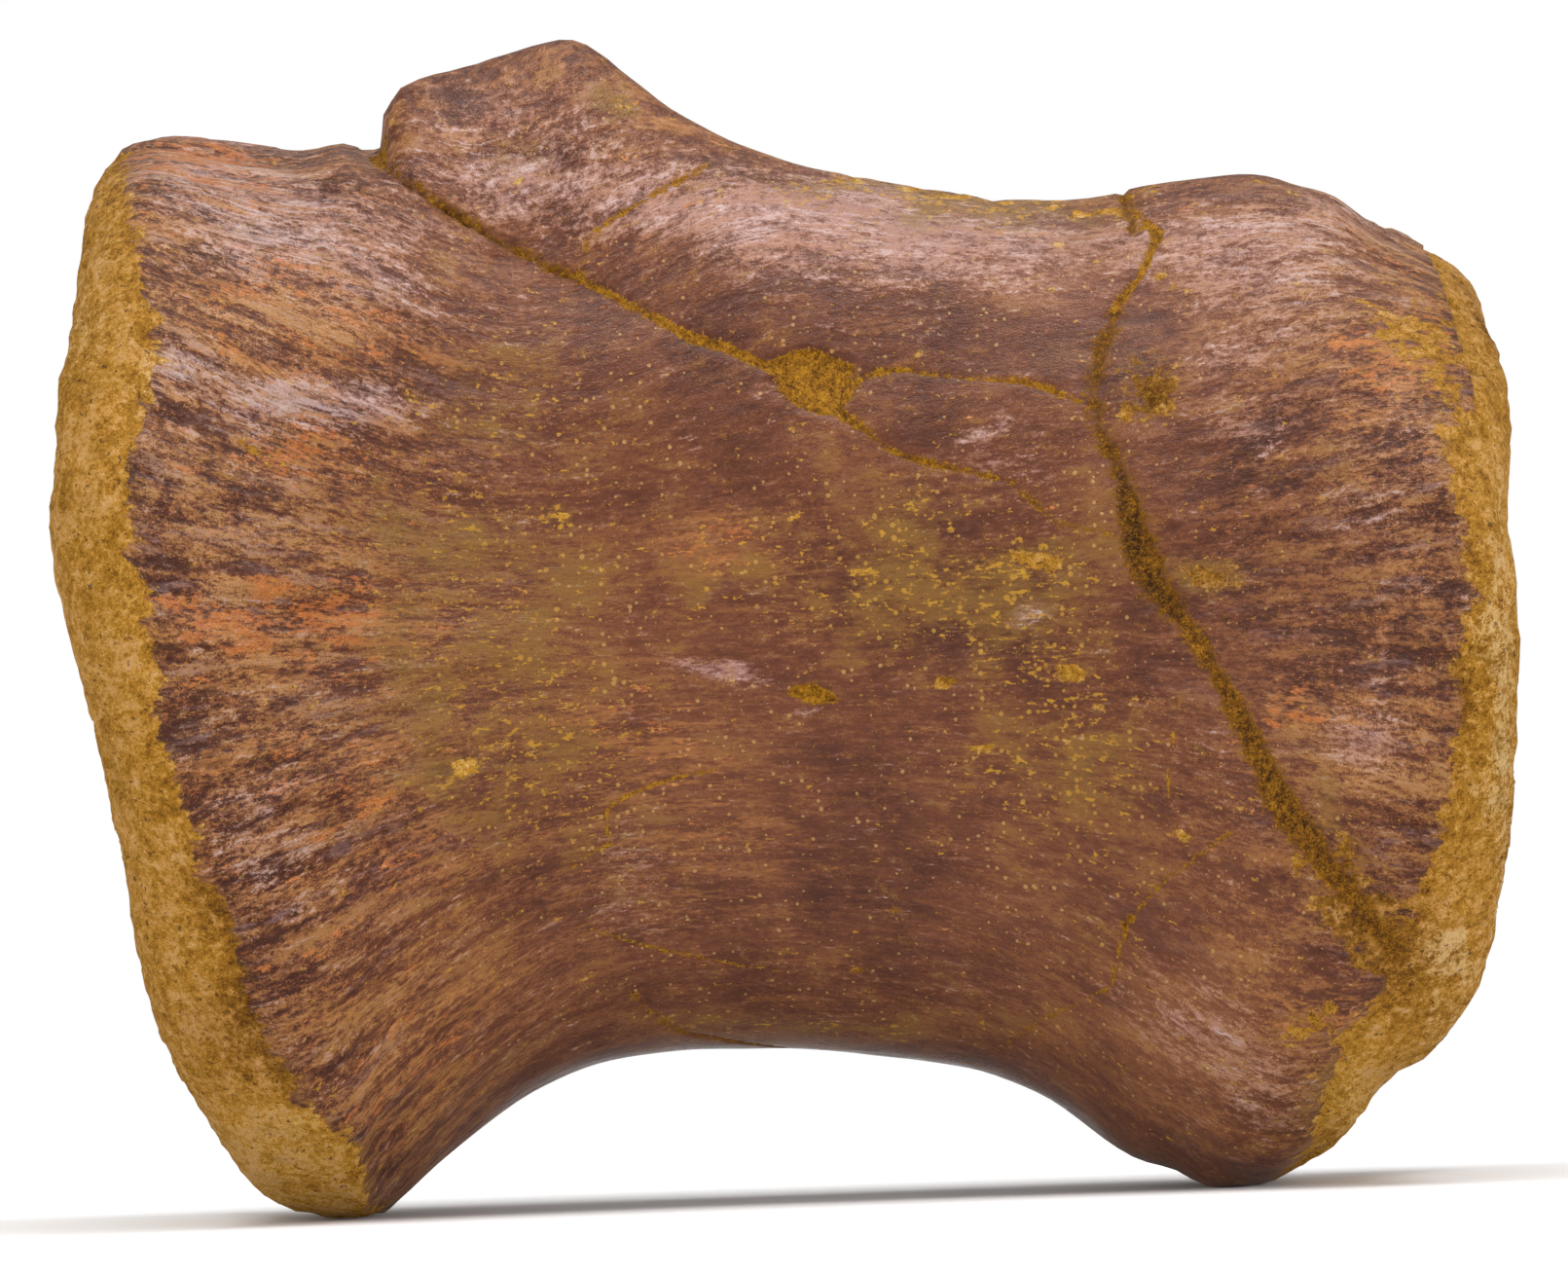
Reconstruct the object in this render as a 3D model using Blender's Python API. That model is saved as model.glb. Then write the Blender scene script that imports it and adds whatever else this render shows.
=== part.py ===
"""A fossil spinosaurid vertebra: the spool-shaped body of the bone, standing on its two worn rims.

It is one piece. The bone, the sandstone cemented on its ends and the sand in its cracks are
turned to one stone, so the model is one solid, named vertebra.

X runs along the bone, -Y is the side with the two filled holes, and Z is up. The origin is at
the middle of the bounding box, on the surface that the bone stands on.
"""

import math

import bmesh
import bpy
from mathutils import Vector, noise

MM = 0.001

# Squares of the starting cube's mesh, along the bone and across each of its four sides.
SQUARES_ALONG = 52
SQUARES_ACROSS = 20

# The bone's outline from the side, as (x, z), in millimetres.
BACK_OUTLINE = (
    (-56, 84.6), (-54, 87.7), (-52, 89), (-50, 89.5), (-46, 89.1), (-42, 88.4), (-38, 88),
    (-34, 88.2), (-31, 87.6), (-24, 85.5), (-14, 82.8), (0, 80.6), (14, 79.2), (26, 79), (36, 80.2),
    (44, 80.7), (50, 78.6), (54, 76), (58, 72),
)
BELLY_OUTLINE = (
    (-56, 30), (-54, 17.5), (-50, 9.8), (-46, 3.6), (-43, -0.6), (-39, -3.4), (-36.2, -2.8),
    (-35.2, 0), (-33.6, 1.6), (-28, 6.2), (-22, 10.1), (-16, 12.2), (-8, 12.9), (0, 12.7),
    (8, 11.9), (14, 10.6), (19, 8.2), (24, 4.9), (28, 2), (30.5, 1.3), (33, -0.4), (36, -1.1),
    (39, -0.6), (43, 2.8), (46, 5.6), (48.5, 9), (54, 12.6), (58, 25),
)
# Half of the bone's width, as (x, half width).
HALF_WIDTH = (
    (-54, 40.2), (-50, 38.8), (-44, 35.8), (-36, 31.6), (-28, 28.6), (-18, 26.2), (-6, 25),
    (6, 25), (18, 26), (28, 28.2), (38, 31.6), (46, 35), (52, 37.6), (57, 39.2),
)
FAR_SIDE_SHARE = 0.96
# How square a cross-section is above and below its widest level: 2 is an ellipse.
SQUARENESS_ABOVE = ((-54, 2.3), (-44, 2.6), (-32, 3.4), (-12, 3), (12, 2.8), (34, 2.7), (54, 2.3))
SQUARENESS_BELOW = ((-54, 2.5), (-36, 2.6), (-16, 2.2), (14, 2.2), (36, 2.6), (54, 2.5))
WIDEST_LEVEL = 0.52

# Where the hard bone ends and the worn, sand-filled rim begins, as (z, x).
LEFT_BONE_EDGE = (
    (0, -36), (10, -41.3), (20.5, -45.7), (29, -49.4), (41, -52), (59, -53.8), (69, -51.8),
    (84, -52), (89.5, -50),
)
RIGHT_BONE_EDGE = (
    (0, 37.5), (4, 41.6), (12.5, 44.8), (20.5, 49.5), (30.5, 54), (42.5, 56), (52, 55.5),
    (61, 54.6), (69, 56.4), (76.4, 54),
)
# The worn ends' outline from the side, as (z, x).
LEFT_END = (
    (0, -40), (0.5, -42), (1.4, -43.8), (3.5, -45.8), (6.6, -47.8), (9.4, -49.8), (13.4, -51.8),
    (18, -53.7), (24, -54.8), (33, -55.7), (42, -57.3), (51, -59.4), (58, -60.3), (66, -59.5),
    (72, -58.1), (78, -57), (84, -55.7), (86, -55.1), (88, -53.4), (89, -51.7), (89.5, -50),
)
RIGHT_END = (
    (0, 38), (0.6, 40), (3, 43.1), (6, 46.1), (8, 48), (10, 50.9), (12, 53.2), (15, 55.1),
    (18, 56.3), (24, 57.9), (33, 59.3), (42, 60.3), (48, 59.9), (54, 59.2), (58, 59.6),
    (63, 60.1), (67, 59.6), (70, 58.7), (73, 57.4), (75, 56), (76.4, 54),
)
# The ends' rounded lip and shallow dish: shares of the end's radius, and depths.
LIP_STARTS = 0.84
NARROW_LIP_STARTS = 0.995
DISH_DEPTH = {"left": 5.5, "right": 6.5}
DISH_ROUNDNESS = 1.3
END_CENTRE = {"left": 47.0, "right": 43.0}
RINGS_CROWD_TO_LIP = 1.6
EDGE_STEPS = 6

# The broken stubs of the arch on the bone's back: where each starts on the side, and its top.
NEAR_STUB_BASE = (
    (-31.4, 84.6), (-25.8, 82), (-20.3, 79), (-10.9, 74), (-0.7, 69), (10, 68), (26, 70), (42, 74),
)
NEAR_STUB_TOP = (
    (-31.4, 91), (-30, 92.3), (-28, 93.1), (-24, 94.3), (-19, 95.8), (-15.5, 96.4), (-13.5, 95.1),
    (-10, 92), (-6, 89.1), (-2, 86.8), (2, 85.2), (8, 83.9), (14, 82.8), (20, 81.8), (26, 81.6),
    (30, 82.4), (36, 83), (40.5, 83.2), (44, 81.7), (48, 79.7), (50, 78.6),
)
FAR_STUB_BASE = ((-35, 84), (-20, 77), (0, 70), (26, 70), (42, 74))
FAR_STUB_TOP = (
    (-36, 87), (-31, 89.6), (-22, 92.2), (-12, 90.4), (-4, 86.4), (6, 83.4), (18, 80.9), (28, 80.4),
    (36, 81.9), (42, 81), (48, 79.5),
)
STUB_RIDGE_AT = 0.45
NEAR_STUB_ENDS = (46, 50)
FAR_STUB_STARTS = (-36, -29)
FAR_STUB_ENDS = (42, 48)
# The canal between the stubs: the shares of the half width that its wall stands between.
CANAL_WALL = (0.2, 0.43)
CANAL_DEPTH = 2.2
CANAL_STARTS = (-40, -28)
CANAL_ENDS = (36, 46)

# The loosened flake above the long crack stands proud of the bone below it.
FLAKE_EDGE_X = -30.6
FLAKE_STEP = 0.9
FLAKE_PROUD = 0.7
FLAKE_LEDGE = (-0.5, 1.5)
FLAKE_ENDS = 4.0

# Where the crust's lumps take over from the bone's, past the bone's edge.
CRUST_BLEND = (-1, 3)
# Soft unevenness left by wear, as the size of its lumps and how far they rise.
BONE_LUMPS = (17.0, 0.4)
END_LUMPS = (8.0, 0.9)
# Flutes that run along the bone and fade towards its waist: length, width, rise and where they fade.
FLUTE_SIZE = (34.0, 6.5)
FLUTE_RISE = 0.75
FLUTES_FADE = (12.0, 40.0)
# The worn ends are smoother than the bone from this far past its edge.
WORN_PAST_EDGE = 0.6

BONE_COLOUR = (0.30, 0.15, 0.10, 1)


def curve(points):
    """A smooth function through points, which turns nowhere except at them."""
    places = [p[0] for p in points]
    values = [p[1] for p in points]
    slopes = [(values[i + 1] - values[i]) / (places[i + 1] - places[i]) for i in range(len(points) - 1)]
    turns = [0.0]
    for before, after in zip(slopes, slopes[1:]):
        turns.append(2 * before * after / (before + after) if before * after > 0 else 0.0)
    turns.append(0.0)

    def value(place):
        place = min(max(place, places[0]), places[-1])
        i = max(k for k in range(len(slopes)) if places[k] <= place)
        span = places[i + 1] - places[i]
        u = (place - places[i]) / span
        rise = values[i + 1] - values[i]
        bow = (turns[i] * span - rise) * u * (1 - u) ** 2 - (turns[i + 1] * span - rise) * u**2 * (1 - u)
        return values[i] + rise * u + bow

    return value


back = curve(BACK_OUTLINE)
belly = curve(BELLY_OUTLINE)
half_width = curve(HALF_WIDTH)
squareness_above = curve(SQUARENESS_ABOVE)
squareness_below = curve(SQUARENESS_BELOW)
bone_edge = {"left": curve(LEFT_BONE_EDGE), "right": curve(RIGHT_BONE_EDGE)}
end_outline = {"left": curve(LEFT_END), "right": curve(RIGHT_END)}
near_stub_base = curve(NEAR_STUB_BASE)
near_stub_top = curve(NEAR_STUB_TOP)
far_stub_base = curve(FAR_STUB_BASE)
far_stub_top = curve(FAR_STUB_TOP)

# Stations along the bone run from one rim to the other, and are straight slices between these.
RIM_STATION = {"left": -52.0, "right": 54.0}
STRAIGHT_STATION = {"left": -33.0, "right": 30.0}


def ramp(value, low, high):
    """0 below low, 1 above high, and smooth between."""
    u = min(max((value - low) / (high - low), 0.0), 1.0)
    return u * u * (3 - 2 * u)


def power(base, exponent):
    return math.copysign(abs(base) ** exponent, base)


def cross_section(x, turn):
    """The point (y, z) of the bone's plain spool, at x, turn radians up from its near side."""
    low, high = belly(x), back(x)
    widest = low + WIDEST_LEVEL * (high - low)
    above = math.sin(turn) > 0
    flatness = 2 / (squareness_above(x) if above else squareness_below(x))
    reach = high - widest if above else widest - low
    share = FAR_SIDE_SHARE if math.cos(turn) < 0 else 1.0
    y = -half_width(x) * share * power(math.cos(turn), flatness)
    return y, widest + reach * power(math.sin(turn), flatness)


def stub_lift(x, y, z):
    """How far the broken arch's stubs raise a point of the spool's upper half."""
    near = y < 0
    if near:
        start = ramp(x, FLAKE_EDGE_X - FLAKE_STEP, FLAKE_EDGE_X + FLAKE_STEP)
        base, top = near_stub_base(x), near_stub_top(x)
        end = 1 - ramp(x, *NEAR_STUB_ENDS)
    else:
        start = ramp(x, *FAR_STUB_STARTS)
        base, top = far_stub_base(x), far_stub_top(x)
        end = 1 - ramp(x, *FAR_STUB_ENDS)
    width = half_width(x) * (1.0 if near else FAR_SIDE_SHARE)
    widest = belly(x) + WIDEST_LEVEL * (back(x) - belly(x))
    exponent = squareness_above(x)
    ridge = widest + (back(x) - widest) * (1 - STUB_RIDGE_AT**exponent) ** (1 / exponent)
    stretch = max((top - base) / (ridge - base) - 1, 0.0)
    inner = ramp(abs(y) / width, *CANAL_WALL)
    return start * end * inner * stretch * max(z - base, 0.0)


def canal_depth(x, y):
    """How far the canal on the bone's back sinks a point of it."""
    across = 1 - ramp(abs(y) / half_width(x), 0, CANAL_WALL[1])
    return CANAL_DEPTH * across * ramp(x, *CANAL_STARTS) * (1 - ramp(x, *CANAL_ENDS))


def wall(station, turn):
    """The point of the bone's side at a station along it, turn radians up from its near side."""
    side = "left" if station < 0 else "right"
    rim, straight = RIM_STATION[side], STRAIGHT_STATION[side]
    share = max((station - straight) / (rim - straight), 0.0)
    edge_z = rim_height(side, turn)
    x = station + (bone_edge[side](edge_z) - rim) * share
    y, z = cross_section(x, turn)
    if math.sin(turn) > 0:
        z += stub_lift(x, y, z) - canal_depth(x, y)
    return Vector((x, y, z))


def rim_height(side, turn):
    """How high the bone's edge is in one direction, found by stepping towards it."""
    z = END_CENTRE[side]
    for _ in range(EDGE_STEPS):
        _, z = cross_section(bone_edge[side](z), turn)
    return z


def end_face(side, share, turn):
    """The point of a worn end, at a share of the way from its middle to the bone's edge."""
    rim = wall(RIM_STATION[side], turn)
    middle = END_CENTRE[side]
    outward = -1 if side == "left" else 1
    y = rim.y * share
    z = middle + (rim.z - middle) * share
    lip_starts = LIP_STARTS + (NARROW_LIP_STARTS - LIP_STARTS) * math.sin(turn) ** 4
    u = max((share - lip_starts) / (1 - lip_starts), 0.0)
    rounding = math.sqrt(max(1 - u * u, 0.0))
    dish = DISH_DEPTH[side] * max(1 - (share / LIP_STARTS) ** 2, 0.0) ** DISH_ROUNDNESS
    x = rim.x + (end_outline[side](z) - rim.x) * rounding - outward * dish
    return Vector((x, y, z))


def turn_of(b, c):
    """The direction of a point on the cube's ring, in radians up from the near side."""
    if abs(c) <= abs(b):
        up = math.pi / 4 * c / abs(b) if b else 0.0
        return up if b < 0 else math.pi - up
    lean = math.pi / 4 * b / abs(c)
    return math.pi / 2 + lean if c > 0 else -math.pi / 2 - lean


def placed(a, b, c):
    """Where a point of the cube's surface goes on the fossil, in millimetres."""
    turn = turn_of(b, c)
    if abs(a) < 1 - 1e-5:
        low, high = RIM_STATION["left"], RIM_STATION["right"]
        return wall(low + (a + 1) / 2 * (high - low), turn)
    side = "left" if a < 0 else "right"
    share = 1 - (1 - max(abs(b), abs(c))) ** RINGS_CROWD_TO_LIP
    return end_face(side, share, turn)


def flake_rise(point):
    """How far the loosened flake stands out at a point of the near side."""
    if point.y > 0 or not FLAKE_EDGE_X < point.x < FLAKE_ENDS:
        return 0.0
    above = ramp(point.z - near_stub_base(point.x), *FLAKE_LEDGE)
    return FLAKE_PROUD * above * ramp(FLAKE_ENDS - point.x, 0, FLAKE_ENDS - FLAKE_EDGE_X)


def past_bone_edge(point):
    """How far a point lies past the edge of the hard bone, towards the nearer end."""
    side = "left" if point.x < 0 else "right"
    return abs(point.x) - abs(bone_edge[side](point.z))


def weathering(point):
    """How far wear has raised or lowered a point."""
    on_end = ramp(past_bone_edge(point), *CRUST_BLEND)
    bone_size, bone_rise = BONE_LUMPS
    end_size, end_rise = END_LUMPS
    length, width = FLUTE_SIZE
    flute = noise.noise(Vector((point.x / length, point.y / width, point.z / width)))
    bone = bone_rise * noise.noise(point / bone_size)
    bone += FLUTE_RISE * flute * ramp(abs(point.x), *FLUTES_FADE)
    end = end_rise * noise.noise(point / end_size)
    return bone * (1 - on_end) + end * on_end


def cube_mesh():
    """A cube whose faces are ruled into squares, from -1 to 1 each way."""
    mesh = bmesh.new()
    bmesh.ops.create_cube(mesh, size=2)
    for axis, cuts in enumerate((SQUARES_ALONG - 1, SQUARES_ACROSS - 1, SQUARES_ACROSS - 1)):
        along = [
            edge for edge in mesh.edges
            if abs((edge.verts[0].co - edge.verts[1].co)[axis]) > 1.5
        ]
        bmesh.ops.subdivide_edges(mesh, edges=along, cuts=cuts, use_grid_fill=True)
    return mesh


def base_centre(mesh):
    """The middle of the mesh's box, on the surface that it stands on."""
    xs = [vert.co.x for vert in mesh.verts]
    ys = [vert.co.y for vert in mesh.verts]
    return Vector(((min(xs) + max(xs)) / 2, (min(ys) + max(ys)) / 2, 0))


def bone_material():
    material = bpy.data.materials.new("fossil_bone")
    material.use_nodes = True
    shader = material.node_tree.nodes["Principled BSDF"]
    shader.inputs["Base Color"].default_value = BONE_COLOUR
    shader.inputs["Roughness"].default_value = 0.6
    shader.inputs["Metallic"].default_value = 0
    return material


def vertebra():
    """The whole fossil, as one solid."""
    mesh = cube_mesh()
    for vert in mesh.verts:
        vert.co = placed(*vert.co)
    mesh.normal_update()
    moves = [vert.normal * (weathering(vert.co) + flake_rise(vert.co)) for vert in mesh.verts]
    for vert, move in zip(mesh.verts, moves):
        vert.co += move
    worn = [vert for vert in mesh.verts if past_bone_edge(vert.co) > WORN_PAST_EDGE]
    bmesh.ops.smooth_vert(
        mesh, verts=worn, factor=0.5, use_axis_x=True, use_axis_y=True, use_axis_z=True
    )
    for vert in mesh.verts:
        vert.co.z = max(vert.co.z, 0.0)
    bmesh.ops.translate(mesh, vec=-base_centre(mesh), verts=mesh.verts)
    bmesh.ops.scale(mesh, vec=(MM, MM, MM), verts=mesh.verts)
    data = bpy.data.meshes.new("vertebra")
    mesh.to_mesh(data)
    mesh.free()
    data.shade_smooth()
    data.materials.append(bone_material())
    fossil = bpy.data.objects.new("vertebra", data)
    bpy.context.scene.collection.objects.link(fossil)
    return fossil


def main():
    for old in list(bpy.data.objects):
        bpy.data.objects.remove(old)
    vertebra()


main()
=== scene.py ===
"""A fossil spinosaurid vertebra: fluted red-brown bone with sandstone-crusted rims and sand-filled cracks."""

import logging
import math
from dataclasses import dataclass, field
from enum import Enum

import bmesh
import bpy
import numpy as np
from mathutils import Euler, Matrix, Vector, noise
from mathutils.bvhtree import BVHTree


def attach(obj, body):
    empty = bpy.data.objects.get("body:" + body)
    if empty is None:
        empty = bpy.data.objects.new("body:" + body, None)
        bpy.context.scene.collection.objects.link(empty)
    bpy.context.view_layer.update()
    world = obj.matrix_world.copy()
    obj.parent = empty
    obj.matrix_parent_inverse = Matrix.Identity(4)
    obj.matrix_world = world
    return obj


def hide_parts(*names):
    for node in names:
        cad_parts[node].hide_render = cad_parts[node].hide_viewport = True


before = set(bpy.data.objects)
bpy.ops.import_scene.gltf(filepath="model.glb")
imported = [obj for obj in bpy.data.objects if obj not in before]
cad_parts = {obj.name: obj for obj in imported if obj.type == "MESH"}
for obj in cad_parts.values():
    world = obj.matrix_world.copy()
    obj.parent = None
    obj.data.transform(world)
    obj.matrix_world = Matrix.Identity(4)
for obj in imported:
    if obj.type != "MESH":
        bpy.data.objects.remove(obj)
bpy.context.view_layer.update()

MM = 0.001
MM_PER_PIXEL = 0.08
NODE = "vertebra"

Colour = tuple[float, float, float]
log = logging.getLogger("fossil")


def ramp(values: np.ndarray, low: float, high: float) -> np.ndarray:
    """Rises smoothly from 0 at low to 1 at high.

    Args:
        values: numbers to place on the ramp.
        low: where the ramp starts.
        high: where it ends.

    Returns:
        A number from 0 to 1 for each value.
    """
    share = np.clip((values - low) / (high - low), 0.0, 1.0)
    return share * share * (3 - 2 * share)


def perlin(points: np.ndarray, size: float, shift: float = 0.0) -> np.ndarray:
    """Smooth noise at each point.

    Args:
        points: places, one a row.
        size: how far apart the noise's lumps are.
        shift: moves the noise, so that two uses differ.

    Returns:
        A number from about -1 to 1 for each point.
    """
    scaled = points / size + shift
    return np.fromiter((noise.noise(Vector(p)) for p in scaled.tolist()), float, len(points))


class Aim(Enum):
    """The direction from which a route's points are laid onto the fossil."""

    NEAR = "from the camera, in pixels of the photograph"
    FAR = "from behind, in the pixels that the camera would see through the bone"
    ABOVE = "from above, as x and y in millimetres"
    BELOW = "from below, as x and y in millimetres"


class Tint(Enum):
    """The tints that tell one region of the bone from another. A few patches of the purple-brown, tan and
    lilac-white tints are painted light: a painted sheen on the upper slopes, painted shade in the band under
    it, and painted light on the belly's lip.
    """

    DARK = "purple_brown_and_painted_shade"
    TAN = "tan_and_painted_light"
    RED = "rust"
    YELLOW = "yellow_ochre"
    PALE = "lilac_white_and_painted_sheen"
    SAND = "sandstone"


@dataclass(frozen=True)
class PhotoCamera:
    """A long lens, level with the bone's middle and rolled a little, as the photograph was taken.

    Distances are in millimetres, and the aim is the x and z that the picture's middle shows.
    """

    width: float = 1611.0
    height: float = 1310.0
    sensor: float = 36.0
    distance: float = 2000.0
    aim: tuple[float, float] = (-0.3, 46.6)
    pixels_per_mm: float = 12.42
    roll: float = math.radians(-2.105)

    def rotation(self) -> Matrix:
        """The camera's rotation: it looks along +Y, and is rolled about that line."""
        return Euler((math.pi / 2, 0, 0)).to_matrix() @ Matrix.Rotation(self.roll, 3, "Z")

    def place(self) -> bpy.types.Object:
        """Adds the camera to the scene and makes it the scene's own.

        Returns:
            The camera's object.
        """
        data = bpy.data.cameras.new("photo_camera")
        data.sensor_width = self.sensor
        data.lens = self.pixels_per_mm * self.distance * self.sensor / self.width
        data.clip_start, data.clip_end = 0.05, 50
        camera = bpy.data.objects.new("photo_camera", data)
        bpy.context.scene.collection.objects.link(camera)
        place = Vector((self.aim[0], -self.distance, self.aim[1])) * MM
        camera.matrix_world = Matrix.Translation(place) @ self.rotation().to_4x4()
        bpy.context.scene.camera = camera
        return camera

    def pixels(self, points: np.ndarray) -> np.ndarray:
        """Where the photograph shows points.

        Args:
            points: places in millimetres, one a row.

        Returns:
            The pixel of each, as x and y from the picture's top left.
        """
        right, up, back = np.array(self.rotation()).T
        offset = points - np.array((self.aim[0], -self.distance, self.aim[1]))
        scale = self.pixels_per_mm * self.distance / -(offset @ back)
        across = self.width / 2 + (offset @ right) * scale
        down = self.height / 2 - (offset @ up) * scale
        return np.stack((across, down), axis=1)

    def ray(self, across: float, down: float) -> tuple[Vector, Vector]:
        """The line of sight through a pixel.

        Args:
            across: the pixel's x.
            down: the pixel's y.

        Returns:
            The camera's place in millimetres and the line's direction.
        """
        reach = self.pixels_per_mm * self.distance
        local = Vector((across - self.width / 2, self.height / 2 - down, -reach))
        return Vector((self.aim[0], -self.distance, self.aim[1])), (self.rotation() @ local).normalized()


@dataclass(frozen=True)
class Seam:
    """A crack or a hole that is filled with sand.

    Its route gives each point's two numbers, as its aim says, and the width there in millimetres.
    Its filling lies a depth below the bone, and is pale at a dark of 0 and nearly black at 1; above 1, as in
    the deep gap, the near-black is painted shadow.
    """

    name: str
    aim: Aim
    route: tuple[tuple[float, float, float], ...]
    depth: float = 0.15
    dark: float = 0.3
    clear_of_bone: float = 300.0

    def laid(self, camera: PhotoCamera, solid: BVHTree) -> np.ndarray:
        """Lays the route onto the fossil.

        Args:
            camera: the photograph's camera.
            solid: the fossil's surface.

        Returns:
            Rows of x, y, z and half width, in millimetres, close together along the route.
        """
        rows = []
        for first, second, width in self.dense():
            origin, direction = self.sight(camera, first, second)
            hit = solid.ray_cast(origin, direction)[0]
            if hit is not None:
                rows.append((*hit, width / 2))
        return np.array(rows)

    def dense(self, step: float = 5.0) -> np.ndarray:
        """The route's rows with more set between them, so that it bends smoothly.

        Args:
            step: how far apart the rows are, in the route's own units.

        Returns:
            The rows.
        """
        knots = np.array(self.route, float)
        lengths = np.hypot(*np.diff(knots[:, :2], axis=0).T)
        places = np.concatenate(((0,), np.cumsum(lengths)))
        spacing = step if self.aim in (Aim.NEAR, Aim.FAR) else step * MM_PER_PIXEL
        count = max(int(places[-1] / spacing), 2)
        at = np.linspace(0, places[-1], count + 1)
        return np.stack([np.interp(at, places, knots[:, i]) for i in range(3)], axis=1)

    def sight(self, camera: PhotoCamera, first: float, second: float) -> tuple[Vector, Vector]:
        """The line along which a point of the route is laid on.

        Args:
            camera: the photograph's camera.
            first: the point's first number.
            second: its second number.

        Returns:
            The line's start and direction.
        """
        if self.aim is Aim.ABOVE:
            return Vector((first, second, self.clear_of_bone)), Vector((0, 0, -1))
        if self.aim is Aim.BELOW:
            return Vector((first, second, -self.clear_of_bone)), Vector((0, 0, 1))
        origin, direction = camera.ray(first, second)
        if self.aim is Aim.FAR:
            return origin + direction * 2 * camera.distance, -direction
        return origin, direction


@dataclass(frozen=True)
class TintPatch:
    """A soft-edged oval patch of a tint, mostly a stain and at a few places painted light: its middle and
    radii in the photograph's pixels, and its turn in degrees.
    """

    middle: tuple[float, float]
    radii: tuple[float, float]
    strength: float = 1.0
    turn: float = 0.0

    def at(self, pixels: np.ndarray) -> np.ndarray:
        """How strong the patch is at each pixel.

        Args:
            pixels: places in the photograph, one a row.

        Returns:
            A number from 0 to the patch's strength for each.
        """
        angle = math.radians(self.turn)
        offset = pixels - np.array(self.middle)
        along = offset[:, 0] * math.cos(angle) - offset[:, 1] * math.sin(angle)
        across = offset[:, 0] * math.sin(angle) + offset[:, 1] * math.cos(angle)
        far = (along / self.radii[0]) ** 2 + (across / self.radii[1]) ** 2
        return self.strength * np.exp(-(far**1.5))


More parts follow.
